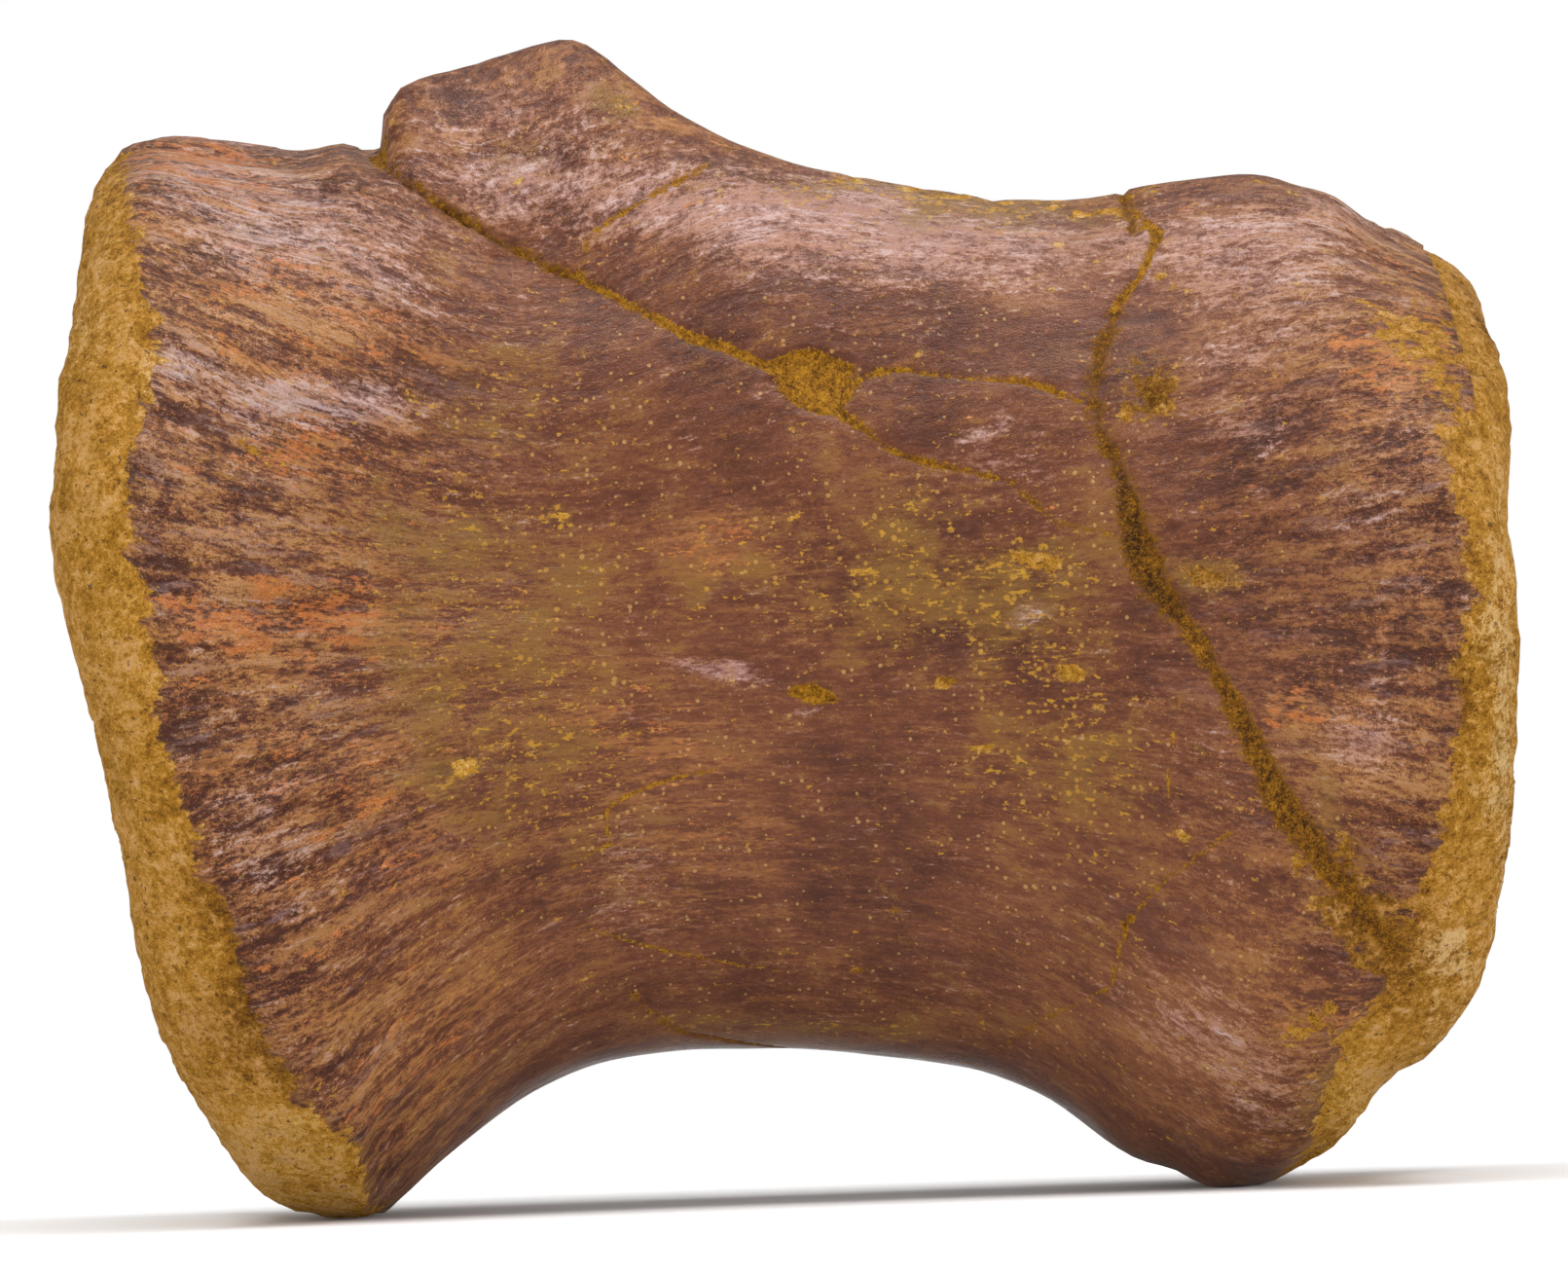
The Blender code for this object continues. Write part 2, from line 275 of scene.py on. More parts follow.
SEAMS = (
    Seam("nook", Aim.NEAR, ((366, 148, 1.2), (378, 156, 1.9), (392, 166, 1.5)), depth=0.1, dark=0.0),
    Seam("long_crack_dark_end", Aim.NEAR, (
        (392, 166, 0.6), (405, 177, 0.4), (425, 192, 0.4), (445, 205, 0.5), (458, 213, 0.75),
        (475, 226, 0.35), (500, 240, 0.35), (530, 257, 0.45), (560, 272, 0.5), (592, 286, 0.7),
    ), depth=0.5, dark=0.5),
    Seam("long_crack", Aim.NEAR, (
        (590, 284, 0.8), (620, 299, 0.55), (650, 315, 0.6), (700, 342, 0.75), (715, 349, 1.05),
        (740, 355, 0.85), (770, 368, 0.75), (800, 380, 1.2),
    ), depth=0.22, dark=0.12),
    Seam("large_hole", Aim.NEAR, (
        (812, 378, 2.2), (825, 386, 4.6), (838, 394, 5.0), (848, 402, 4.2), (854, 410, 2.4),
    ), depth=0.35, dark=0.15),
    Seam("hole_corner", Aim.NEAR, ((800, 374, 1.2), (835, 372, 2.4), (870, 380, 1.4)), depth=0.3, dark=0.15),
    Seam("crack_to_waist", Aim.NEAR, (
        (856, 418, 1.2), (885, 440, 0.6), (920, 465, 0.5), (950, 475, 0.6), (1000, 485, 0.35),
        (1040, 495, 0.3), (1060, 515, 0.4), (1085, 538, 0.2), (1150, 550, 0.1),
    ), depth=0.25, dark=0.3),
    Seam("crack_to_right", Aim.NEAR, (
        (868, 402, 1.2), (885, 390, 0.5), (900, 382, 0.5), (930, 380, 0.4), (960, 385, 0.25),
        (1010, 390, 0.2), (1050, 392, 0.5), (1075, 398, 0.7), (1100, 410, 0.3), (1125, 415, 0.3),
    ), depth=0.2, dark=0.2),
    Seam("flake_crack", Aim.NEAR, (
        (757, 147, 0.65), (735, 165, 0.5), (700, 185, 0.55), (670, 200, 0.5), (645, 215, 0.4),
        (605, 240, 0.35), (597, 280, 0.25),
    ), depth=0.2, dark=0.12),
    Seam("great_crack", Aim.NEAR, (
        (1150, 308, 0.6), (1142, 330, 0.8), (1130, 360, 1.0), (1122, 400, 1.2), (1127, 440, 1.3),
        (1144, 470, 1.4), (1156, 500, 1.6), (1163, 540, 2.3), (1171, 575, 2.9), (1190, 608, 2.4),
        (1216, 638, 1.3),
    ), depth=0.3, dark=0.72),
    Seam("great_crack_foot", Aim.NEAR, (
        (1206, 626, 1.6), (1222, 645, 1.3), (1250, 695, 1.3), (1276, 740, 1.8), (1294, 780, 2.0),
        (1312, 820, 2.6), (1340, 858, 2.6), (1366, 892, 2.0), (1392, 925, 1.6), (1416, 956, 1.4),
        (1440, 986, 0.8),
    ), depth=0.12, dark=0.55),
    # The gap's near-black filling is painted shadow in the deep crack.
    Seam("gap", Aim.NEAR, (
        (448, 207, 0.3), (459, 214, 0.8), (470, 222, 0.4), (484, 232, 0.3),
    ), depth=0.8, dark=1.15),
    Seam("great_crack_top", Aim.NEAR, (
        (1150, 203, 0.5), (1160, 213, 0.6), (1172, 222, 0.6), (1190, 240, 1.2), (1182, 260, 0.6),
        (1170, 285, 0.5), (1152, 306, 0.9), (1146, 318, 0.7),
    ), depth=0.3, dark=0.1),
    Seam("low_crack", Aim.NEAR, (
        (1265, 855, 0.3), (1230, 880, 0.4), (1200, 900, 0.3), (1170, 935, 0.3), (1155, 950, 0.8),
        (1148, 985, 0.4), (1140, 1015, 0.3), (1110, 1030, 0.2), (1075, 1045, 0.3), (1045, 1065, 0.4),
        (1005, 1088, 0.3),
    ), depth=0.2, dark=0.1),
    Seam("small_hole", Aim.NEAR, (
        (812, 712, 0.5), (822, 711, 1.3), (835, 713, 1.7), (848, 716, 1.2), (860, 720, 0.4),
    ), depth=0.3, dark=0.1),
    Seam("curled_hairline", Aim.NEAR, (
        (740, 790, 0.2), (690, 800, 0.3), (650, 815, 0.3), (625, 830, 0.35), (620, 850, 0.35),
        (630, 865, 0.3), (600, 880, 0.25), (585, 895, 0.15),
    ), depth=0.05, dark=0.0),
    Seam("belly_hairline", Aim.NEAR, (
        (590, 950, 0.15), (640, 965, 0.27), (700, 980, 0.3), (760, 992, 0.27), (800, 998, 0.15),
    ), depth=0.05, dark=0.0),
    Seam("right_hairline", Aim.NEAR, (
        (1212, 715, 0.15), (1205, 760, 0.27), (1200, 800, 0.27), (1197, 850, 0.15),
    ), depth=0.05, dark=0.0),
    Seam("crack_over_back", Aim.ABOVE, (
        (29.5, -16.0, 0.7), (28.5, -10.0, 0.9), (27.0, -4.0, 1.1), (27.6, 3.0, 1.0), (26.0, 9.0, 0.8),
        (24.5, 16.0, 0.7), (25.5, 21.0, 0.7),
    ), depth=0.4, dark=0.5),
    Seam("crack_down_far_side", Aim.FAR, (
        (1112, 215, 0.7), (1100, 260, 0.8), (1112, 310, 0.7), (1090, 370, 0.9), (1040, 420, 0.7),
        (1010, 480, 0.9), (955, 530, 1.1), (930, 590, 1.6), (880, 640, 1.2), (850, 720, 0.9),
        (800, 780, 0.7), (770, 860, 0.5), (700, 930, 0.4), (640, 1020, 0.3),
    ), depth=0.35, dark=0.5),
    Seam("far_branch", Aim.FAR, (
        (930, 590, 1.0), (980, 640, 0.6), (1050, 690, 0.5), (1120, 760, 0.6), (1200, 850, 0.8),
        (1290, 930, 1.2), (1350, 1010, 1.6),
    ), depth=0.3, dark=0.4),
    Seam("far_flake", Aim.FAR, (
        (300, 150, 1.2), (340, 230, 0.7), (400, 300, 0.6), (480, 340, 0.5), (560, 400, 0.4),
        (640, 430, 0.3),
    ), depth=0.3, dark=0.3),
    Seam("far_hole", Aim.FAR, (
        (770, 520, 1.0), (782, 526, 2.6), (795, 532, 3.0), (808, 540, 2.0), (818, 548, 0.8),
    ), depth=0.4, dark=0.2),
    Seam("belly_crack", Aim.BELOW, (
        (-14.0, -14.0, 0.3), (-10.0, -8.0, 0.5), (-3.0, -3.0, 0.6), (1.0, 4.0, 0.5), (8.0, 9.0, 0.4),
        (13.0, 15.0, 0.2),
    ), depth=0.2, dark=0.2),
)

STAINS_AND_PAINTED_LIGHT = (
    (Tint.DARK, (
        # Painted shade: the dark band under the upper slope's sheen.
        TintPatch((860, 345), (300, 62), 1.2, -4),
        TintPatch((700, 480), (120, 80), 0.5, -20),
        TintPatch((900, 860), (80, 150), 0.75, 5),
        TintPatch((960, 430), (160, 40), 0.5, -15),
        TintPatch((300, 1030), (70, 120), 0.8, -35),
        TintPatch((240, 930), (60, 40), 0.7),
        TintPatch((210, 520), (70, 60), 0.4),
        TintPatch((1290, 560), (110, 150), 0.45),
        TintPatch((1490, 640), (22, 150), 0.7),
        TintPatch((800, 1030), (260, 30), 0.2),
        TintPatch((1290, 560), (120, 120), 0.3),
        TintPatch((700, 930), (200, 120), 0.35),
        TintPatch((1180, 700), (60, 140), 0.4, 10),
        TintPatch((960, 600), (150, 90), 0.9),
        TintPatch((1238, 597), (38, 26), 0.7),
        TintPatch((520, 180), (110, 60), 0.3),
        TintPatch((1176, 394), (50, 36), 0.6),
        TintPatch((1375, 890), (75, 50), 0.8, -45),
        TintPatch((1415, 965), (80, 50), 0.8, -50),
    )),
    (Tint.TAN, (
        TintPatch((260, 250), (150, 90), 0.6, -20),
        TintPatch((330, 560), (150, 170), 0.4),
        TintPatch((430, 1040), (140, 130), 0.6, 30),
        TintPatch((210, 390), (80, 90), 0.5),
        TintPatch((1310, 240), (150, 60), 0.6, 10),
        TintPatch((1250, 1040), (130, 120), 0.45, -30),
        TintPatch((1400, 300), (130, 90), 0.5, 20),
        TintPatch((500, 700), (140, 160), 0.35),
        TintPatch((1400, 780), (90, 70), 0.5),
        TintPatch((660, 105), (50, 25), 0.6, -35),
        TintPatch((728, 563), (58, 30), 0.95, 5),
        TintPatch((1400, 765), (40, 44), 0.7),
        TintPatch((1250, 1090), (110, 70), 0.5, -30),
        # The lip under the belly: its own ochre line, lightened further as painted light for the dim
        # underside.
        TintPatch((800, 1058), (220, 14), 0.9),
        # Painted sheen: the bright strip along the upper slope, where the light from above reflects.
        TintPatch((850, 228), (300, 44), 0.5, -5),
    )),
    (Tint.RED, (
        TintPatch((210, 165), (80, 35), 0.9, -10),
        TintPatch((310, 455), (50, 40), 0.9),
        TintPatch((310, 640), (150, 55), 0.8),
        TintPatch((330, 330), (140, 60), 0.5, -25),
        TintPatch((1340, 725), (45, 28), 0.9),
        TintPatch((1440, 355), (90, 60), 0.6, 25),
        TintPatch((730, 565), (60, 32), 1.1, 5),
        TintPatch((400, 830), (90, 110), 0.4),
        TintPatch((690, 840), (110, 100), 0.5),
        TintPatch((640, 740), (90, 50), 0.4),
        TintPatch((900, 350), (60, 30), 0.3),
        TintPatch((830, 640), (30, 60), 0.4),
        TintPatch((420, 1080), (110, 60), 0.45, 30),
        TintPatch((660, 110), (50, 30), 0.5, -35),
        TintPatch((1350, 1050), (50, 40), 0.5),
        TintPatch((960, 770), (70, 50), 0.4),
    )),
    (Tint.YELLOW, (
        TintPatch((480, 600), (130, 200), 0.6, 10),
        TintPatch((970, 590), (160, 110), 0.5, -10),
        TintPatch((790, 590), (200, 90), 0.35),
        TintPatch((1060, 640), (70, 70), 0.35),
        TintPatch((560, 800), (130, 120), 0.5),
        TintPatch((1090, 770), (110, 100), 0.65),
        TintPatch((1140, 930), (60, 90), 0.4),
        TintPatch((1235, 595), (38, 26), 0.8),
        TintPatch((1375, 890), (70, 60), 0.3, -40),
        TintPatch((560, 400), (120, 60), 0.4, -25),
        TintPatch((1050, 570), (28, 16), 1.0),
        TintPatch((480, 787), (16, 10), 1.2),
        TintPatch((960, 198), (200, 14), 0.9, -4),
        TintPatch((540, 160), (30, 14), 0.6, -20),
        TintPatch((640, 112), (34, 14), 0.9, -25),
        TintPatch((570, 530), (14, 16), 1.2, -40),
        # The lip under the belly: its own ochre line, lightened further as painted light for the dim
        # underside.
        TintPatch((800, 1056), (250, 9), 0.7),
        TintPatch((290, 1200), (130, 80), 0.8, -20),
        TintPatch((1390, 1140), (60, 70), 1.0, 30),
        TintPatch((900, 215), (220, 22), 0.5, -4),
    )),
    (Tint.PALE, (
        # Painted sheen of the light from above on the upper left slope.
        TintPatch((280, 230), (170, 70), 0.8, -22),
        TintPatch((210, 390), (90, 50), 0.6, -15),
        TintPatch((350, 415), (90, 28), 0.9, -12),
        # Painted sheen of the light from above on the flake.
        TintPatch((520, 160), (130, 80), 0.4, 10),
        # Painted sheen of the light from above on the top right slope.
        TintPatch((1300, 250), (160, 60), 0.75, 10),
        # Painted sheen: the bright strip along the upper slope, where the light from above reflects.
        TintPatch((850, 228), (310, 54), 1.05, -5),
        TintPatch((1310, 340), (110, 32), 0.5, 15),
        TintPatch((1010, 440), (30, 12), 0.8),
        TintPatch((1270, 430), (60, 30), 0.5),
        TintPatch((1400, 765), (40, 44), 0.85),
        TintPatch((1420, 470), (60, 80), 0.3),
        TintPatch((1060, 625), (26, 20), 1.0),
        TintPatch((740, 690), (60, 10), 1.0, -14),
        TintPatch((835, 728), (26, 5), 1.2),
        TintPatch((650, 890), (50, 70), 0.4),
        TintPatch((270, 860), (60, 50), 0.5, -20),
        TintPatch((1030, 480), (60, 20), 0.5, -10),
        TintPatch((1558, 760), (34, 330), 1.1),
        TintPatch((1490, 975), (30, 22), 1.3, -20),
        TintPatch((1500, 1050), (50, 60), 0.7, 30),
        TintPatch((85, 330), (20, 90), 0.5),
        TintPatch((1250, 1080), (110, 60), 0.6, -30),
    )),
    (Tint.SAND, (
        TintPatch((1176, 394), (46, 32), 1.3),
        TintPatch((1375, 905), (80, 34), 0.72, -52),
        TintPatch((1420, 965), (60, 34), 1.0, -50),
        TintPatch((1235, 595), (34, 20), 0.95, -10),
        TintPatch((480, 787), (18, 11), 1.3),
        TintPatch((1050, 572), (34, 13), 1.1, -25),
        TintPatch((1092, 697), (22, 10), 1.15),
        TintPatch((965, 705), (22, 8), 1.1, 10),
        TintPatch((1210, 862), (13, 9), 1.1),
        TintPatch((570, 532), (12, 20), 1.2, -40),
        TintPatch((640, 112), (28, 10), 0.9, -30),
        TintPatch((1445, 330), (70, 26), 0.85, -10),
        TintPatch((1480, 400), (30, 60), 0.9, 20),
        TintPatch((1350, 1050), (30, 18), 0.9),
        TintPatch((870, 992), (12, 8), 1.1),
        TintPatch((548, 935), (12, 8), 1.1),
        TintPatch((1010, 776), (24, 8), 1.0),
        TintPatch((378, 158), (26, 13), 1.4, -25),
        TintPatch((1390, 208), (100, 9), 1.05, -24),
        TintPatch((1130, 208), (60, 8), 0.95),
        TintPatch((960, 194), (130, 8), 0.85, -3),
        TintPatch((1215, 298), (14, 8), 1.1),
        TintPatch((425, 415), (20, 9), 0.9, -20),
        TintPatch((280, 455), (30, 12), 0.8, -10),
    )),
)

# Where the photograph shows the hard bone give way to the crusted rims, as pixels down and across.
LEFT_EDGE = (
    (100, 118), (140, 128), (210, 130), (260, 138), (330, 160), (400, 158), (440, 136), (480, 130),
    (560, 132), (610, 150), (660, 155), (750, 166), (830, 192), (900, 205), (940, 240), (1000, 252),
    (1080, 282), (1130, 312), (1180, 365), (1240, 388), (1290, 400),
)
RIGHT_EDGE = (
    (150, 1290), (180, 1330), (225, 1420), (270, 1490), (340, 1508), (400, 1528), (450, 1492),
    (540, 1500), (600, 1512), (700, 1504), (780, 1492), (850, 1480), (900, 1466), (950, 1440),
    (1020, 1420), (1060, 1384), (1120, 1368), (1170, 1352), (1205, 1318), (1240, 1290),
)


@dataclass
class FossilSkin:
    """The fossil's fine surface, laid over the vertebra's solid and then given its relief.

    Lengths are in millimetres. The skin starts as a ruled cube whose points are pushed out, from
    a core that runs along the bone, onto the solid. Each pull trims the outline: it gives the x and
    z of a place, its reach, and how far the skin moves there to the right and up. Each layer of
    sand is a height, the size of its lumps and a shift of its noise, and each warp of the stains
    the size of its noise, two shifts and a reach in pixels. The flake's edge stands fully proud up
    to one pixel across, and less beyond it.
    """

    camera: PhotoCamera
    squares_along: int = 106
    squares_across: int = 92
    core_half: float = 42.0
    core_height: float = 47.0
    reach: tuple[float, float, float] = (60.0, 42.0, 48.0)
    lip_crowding: float = 1.3
    longest_edge: float = 1.5
    seam_margin: float = 0.8
    longest_jump: float = 3.0
    outside: float = -4.0
    half_length: float = 56.0
    waist: tuple[float, float] = (35.0, 25.0)
    flare: tuple[float, float] = (10.0, 14.0)
    even_radius: float = 36.0
    flute_rise: float = 0.45
    pit_depth: float = 0.35
    sand_layers: tuple[tuple[float, float, float], ...] = (
        (0.22, 3.0, 4.0),
        (0.2, 1.5, 6.0),
        (0.12, 0.8, 8.0),
    )
    pore_depth: float = 0.5
    crust_sunk: float = 0.2
    flake_rise: float = 0.45
    flake_full_until: float = 450.0
    strongest_tint: float = 1.2
    stain_warps: tuple[tuple[float, tuple[float, float], float], ...] = (
        (7.0, (11.0, 23.0), 26.0),
        (2.5, (31.0, 43.0), 9.0),
    )
    seams: tuple[Seam, ...] = SEAMS
    stains_and_painted_light: tuple[tuple[Tint, tuple[TintPatch, ...]], ...] = STAINS_AND_PAINTED_LIGHT
    pulls: tuple[tuple[float, float, float, float, float], ...] = (
        (-30.6, 91.6, 2.6, -0.9, 0.0),
        (-31.5, 87.0, 1.3, 0.3, -0.8),
        (-35.0, 87.3, 2.3, 0.0, 0.9),
        (42.6, 83.1, 3.0, 0.0, -0.5),
        (54.6, 15.4, 6.0, 0.9, -0.4),
        (8.0, 11.9, 9.0, 0.0, -0.6),
        (-53.7, 87.4, 5.0, -0.5, 0.5),
        (56.3, 73.0, 5.0, 0.5, 0.4),
        (0.0, 87.0, 7.0, 0.0, 0.5),
        (-44.8, 2.6, 4.0, -0.7, -0.3),
        (43.3, 3.4, 4.0, 0.5, -0.2),
        (26.1, 4.4, 4.0, -0.3, -0.5),
        (-16.9, 96.3, 3.0, 0.0, 0.35),
        (48.0, 8.1, 1.8, -0.8, 0.4),
    )
    lines: list[np.ndarray] = field(default_factory=list)

    def build(self) -> bpy.types.Object:
        """Makes the whole skin.

        Returns:
            The finished piece, without its material.
        """
        solid = self.smooth_solid(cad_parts[NODE])
        self.lines = [seam.laid(self.camera, solid) for seam in self.seams]
        mesh = self.ruled_cube()
        self.wrap(mesh, solid)
        self.even_out(mesh)
        self.refine_seams(mesh)
        data = bpy.data.meshes.new("fossil_vertebra")
        mesh.to_mesh(data)
        mesh.free()
        self.finish_points(data)
        data.transform(Matrix.Scale(MM, 4))
        data.shade_smooth()
        piece = bpy.data.objects.new("fossil_vertebra", data)
        bpy.context.scene.collection.objects.link(piece)
        return piece

    def smooth_solid(self, node: bpy.types.Object) -> BVHTree:
        """The vertebra's solid in millimetres, with its facets rounded off.

        Args:
            node: the solid's object, which is left as it is.

        Returns:
            Its surface, ready for casting lines at.
        """
        mesh = bmesh.new()
        mesh.from_mesh(node.data)
        bmesh.ops.remove_doubles(mesh, verts=mesh.verts, dist=1e-7)
        bmesh.ops.scale(mesh, vec=(1 / MM,) * 3, verts=mesh.verts)
        data = bpy.data.meshes.new("smooth_solid")
        mesh.to_mesh(data)
        mesh.free()
        work = bpy.data.objects.new("smooth_solid", data)
        bpy.context.scene.collection.objects.link(work)
        rounding = work.modifiers.new("rounding", "SUBSURF")
        rounding.levels = rounding.render_levels = 2
        tree = BVHTree.FromObject(work, bpy.context.evaluated_depsgraph_get())
        bpy.data.objects.remove(work)
        bpy.data.meshes.remove(data)
        return tree

    def ruled_cube(self) -> bmesh.types.BMesh:
        """A cube from -1 to 1 whose sides are ruled into squares.

        Returns:
            The cube's mesh, which the caller frees.
        """
        mesh = bmesh.new()
        bmesh.ops.create_cube(mesh, size=2)
        for axis, squares in enumerate((self.squares_along, self.squares_across, self.squares_across)):
            crossing = [e for e in mesh.edges if abs((e.verts[0].co - e.verts[1].co)[axis]) > 1.5]
            bmesh.ops.subdivide_edges(mesh, edges=crossing, cuts=squares - 1, use_grid_fill=True)
        return mesh

    def wrap(self, mesh: bmesh.types.BMesh, solid: BVHTree) -> None:
        """Pushes each point of the cube out onto the solid, and notes how far in from an end's lip it is.

        Args:
            mesh: the ruled cube.
            solid: the solid's surface.
        """
        inset = mesh.verts.layers.float.new("inset")
        for vert in mesh.verts:
            along, across, up = vert.co
            share = max(abs(across), abs(up))
            vert[inset] = 1 - share if abs(along) > 1 - 1e-5 else 0.0
            ring = 1 - (1 - share) ** self.lip_crowding
            turn = self.ring_angle(across, up)
            target = Vector((
                along * self.reach[0],
                -math.cos(turn) * ring * self.reach[1],
                self.core_height + math.sin(turn) * ring * self.reach[2],
            ))
            start = Vector((max(-self.core_half, min(self.core_half, target.x)), 0, self.core_height))
            vert.co = solid.ray_cast(start, target - start)[0]

    @staticmethod
    def ring_angle(across: float, up: float) -> float:
        """The direction of a point on the cube's ring.

        Args:
            across: the point's place across the bone, less than 0 on the side that faces the camera.
            up: its place up.

        Returns:
            The angle in radians, up from the side that faces the camera.
        """
        if abs(up) <= abs(across):
            lift = math.pi / 4 * up / abs(across) if across else 0.0
            return lift if across < 0 else math.pi - lift
        lean = math.pi / 4 * across / abs(up)
        return math.pi / 2 + lean if up > 0 else -math.pi / 2 - lean

    def even_out(self, mesh: bmesh.types.BMesh) -> None:
        """Trims the outline, halves stretched squares and softens what is uneven.

        Args:
            mesh: the skin, which is changed.
        """
        for vert in mesh.verts:
            for x, z, reach, right, up in self.pulls:
                near = math.exp(-(((vert.co.x - x) ** 2 + (vert.co.z - z) ** 2) / reach**2))
                vert.co += Vector((right, 0, up)) * near
        stretched = [e for e in mesh.edges if e.calc_length() > self.longest_edge]
        bmesh.ops.subdivide_edges(mesh, edges=stretched, cuts=1, use_grid_fill=True)
        bmesh.ops.smooth_vert(
            mesh, verts=mesh.verts, factor=0.5, use_axis_x=True, use_axis_y=True, use_axis_z=True
        )

    def refine_seams(self, mesh: bmesh.types.BMesh) -> None:
        """Splits the squares along each seam, so that its walls are crisp.

        Args:
            mesh: the skin, which is changed.
        """
        mesh.verts.index_update()
        points = np.array([v.co for v in mesh.verts])
        near = self.seam_fields(points)[0] > -self.seam_margin
        close = [e for e in mesh.edges if near[e.verts[0].index] and near[e.verts[1].index]]
        bmesh.ops.subdivide_edges(mesh, edges=close, cuts=1, use_grid_fill=True)

    def seam_fields(self, points: np.ndarray) -> tuple[np.ndarray, np.ndarray, np.ndarray]:
        """How deep inside a seam each point is, and that seam's depth and darkness.

        Args:
            points: places in millimetres, one a row.

        Returns:
            The distance inside the seam's edge, less than 0 outside, the depth and the darkness.
        """
        inside = np.full(len(points), self.outside)
        depth = np.zeros(len(points))
        dark = np.zeros(len(points))
        for seam, line in zip(self.seams, self.lines):
            low = line[:, :3].min(axis=0) - 6
            high = line[:, :3].max(axis=0) + 6
            close = np.nonzero(((points > low) & (points < high)).all(axis=1))[0]
            best = np.full(len(close), self.outside)
            places = points[close]
            for start, end in zip(line[:-1], line[1:]):
                span = end[:3] - start[:3]
                length = max(float(span @ span), 1e-9)
                if length > self.longest_jump**2:
                    continue
                share = np.clip(((places - start[:3]) @ span) / length, 0, 1)
                apart = np.linalg.norm(places - start[:3] - share[:, None] * span, axis=1)
                best = np.maximum(best, start[3] + share * (end[3] - start[3]) - apart)
            wins = best > inside[close]
            inside[close[wins]] = best[wins]
            depth[close[wins]] = seam.depth
            dark[close[wins]] = seam.dark
        return inside, depth, dark

    def finish_points(self, data: bpy.types.Mesh) -> None:
        """Works out each point's tints and relief, and moves it.

        Args:
            data: the skin's mesh, in millimetres.
        """
        count = len(data.vertices)
        points = np.empty(count * 3)
        data.vertices.foreach_get("co", points)
        points = points.reshape(-1, 3)
        normals = np.empty(count * 3)
        data.vertex_normals.foreach_get("vector", normals)
        normals = normals.reshape(-1, 3)
        inset = np.empty(count)
        data.attributes["inset"].data.foreach_get("value", inset)
        pixels = self.camera.pixels(points)
        fibre = self.fibre(points)
        crust = self.crust(points, pixels, inset, fibre)
        inside, depth, dark = self.seam_fields(points)
        ragged = 0.9 * perlin(points, 2.2, 17.0) + 0.5 * perlin(points, 0.9, 19.0)
        inside += np.maximum(dark - 0.3, 0) * ragged
        rib = self.ribbed(points)
        tints = self.tints(points, pixels)
        self.stain_ends(tints, points, inset)
        crust = np.maximum(crust, self.stuck_on(points, tints[Tint.SAND.value]))
        flute = self.flutes(fibre)
        pits = ramp(perlin(fibre * np.array((0.5, 1, 1)), 1.5, 9.0), 0.42, 0.7) * (0.15 + 0.85 * rib)
        values = {"crust": crust, "seam": inside, "seam_dark": dark, "rib": rib, "ridge": flute}
        values.update(tints)
        for name, numbers in values.items():
            layer = data.attributes.new(name, "FLOAT", "POINT")
            layer.data.foreach_set("value", numbers.astype(np.float32))
        layer = data.attributes.new("fibre", "FLOAT_VECTOR", "POINT")
        layer.data.foreach_set("vector", fibre.astype(np.float32).ravel())
        rise = self.relief(points, pixels, flute * (0.1 + 0.9 * rib), pits, crust)
        rise += self.seam_relief(points, inside, depth)
        moved = points + normals * rise[:, None]
        moved[:, 2] = np.maximum(moved[:, 2], 0)
        data.vertices.foreach_set("co", moved.ravel())
        data.update()

    @staticmethod
    def ribbed(points: np.ndarray) -> np.ndarray:
        """How fluted the bone is: most by the rims, and some by the broken top."""
        by_rims = ramp(np.maximum(-points[:, 0], points[:, 0] - 13), 10, 50)
        return np.maximum(by_rims, 0.42 * ramp(points[:, 2], 70, 88))

    def fibre(self, points: np.ndarray) -> np.ndarray:
        """Coordinates that follow the bone's grain, which fans out from the waist to the rims.

        Args:
            points: places in millimetres, one a row.

        Returns:
            Each point's place along the bone, and its place on a round of even width.
        """
        out = np.abs(points[:, 0]) / self.half_length
        height, width = (waist + flare * out**2 for waist, flare in zip(self.waist, self.flare))
        turn = np.arctan2((points[:, 2] - self.core_height) / height, -points[:, 1] / width)
        fan = 0.34 - (0.16 + 0.18 * np.sin(turn)) * ramp(points[:, 0], -28, 4)
        turn += fan * np.clip(1 - out**1.6, 0, 1) * np.sin(2 * turn)
        round_it = self.even_radius * np.stack((np.cos(turn), np.sin(turn)), axis=1)
        return np.column_stack((points[:, 0], round_it))

    def crust(
        self, points: np.ndarray, pixels: np.ndarray, inset: np.ndarray, fibre: np.ndarray
    ) -> np.ndarray:
        """How far each point lies past the bone's edge, out on a crusted rim.

        Args:
            points: places in millimetres, one a row.
            pixels: where the photograph shows them.
            inset: how far in from an end's lip they are, as a share of the end.
            fibre: their coordinates along the grain.

        Returns:
            The distance in millimetres, less than 0 on bone.
        """
        down, across = pixels[:, 1], pixels[:, 0]
        left = np.interp(down, *np.array(LEFT_EDGE).T) - across
        right = across - np.interp(down, *np.array(RIGHT_EDGE).T)
        past = np.maximum(left, right) / self.camera.pixels_per_mm
        grain = fibre * np.array((0.25, 1, 1))
        past += 1.0 * perlin(grain, 2.4, 7.0) + 0.8 * perlin(grain, 1.1, 3.0)
        return np.maximum(past, np.where(inset > 0, 0.5 + 40 * inset, -99))

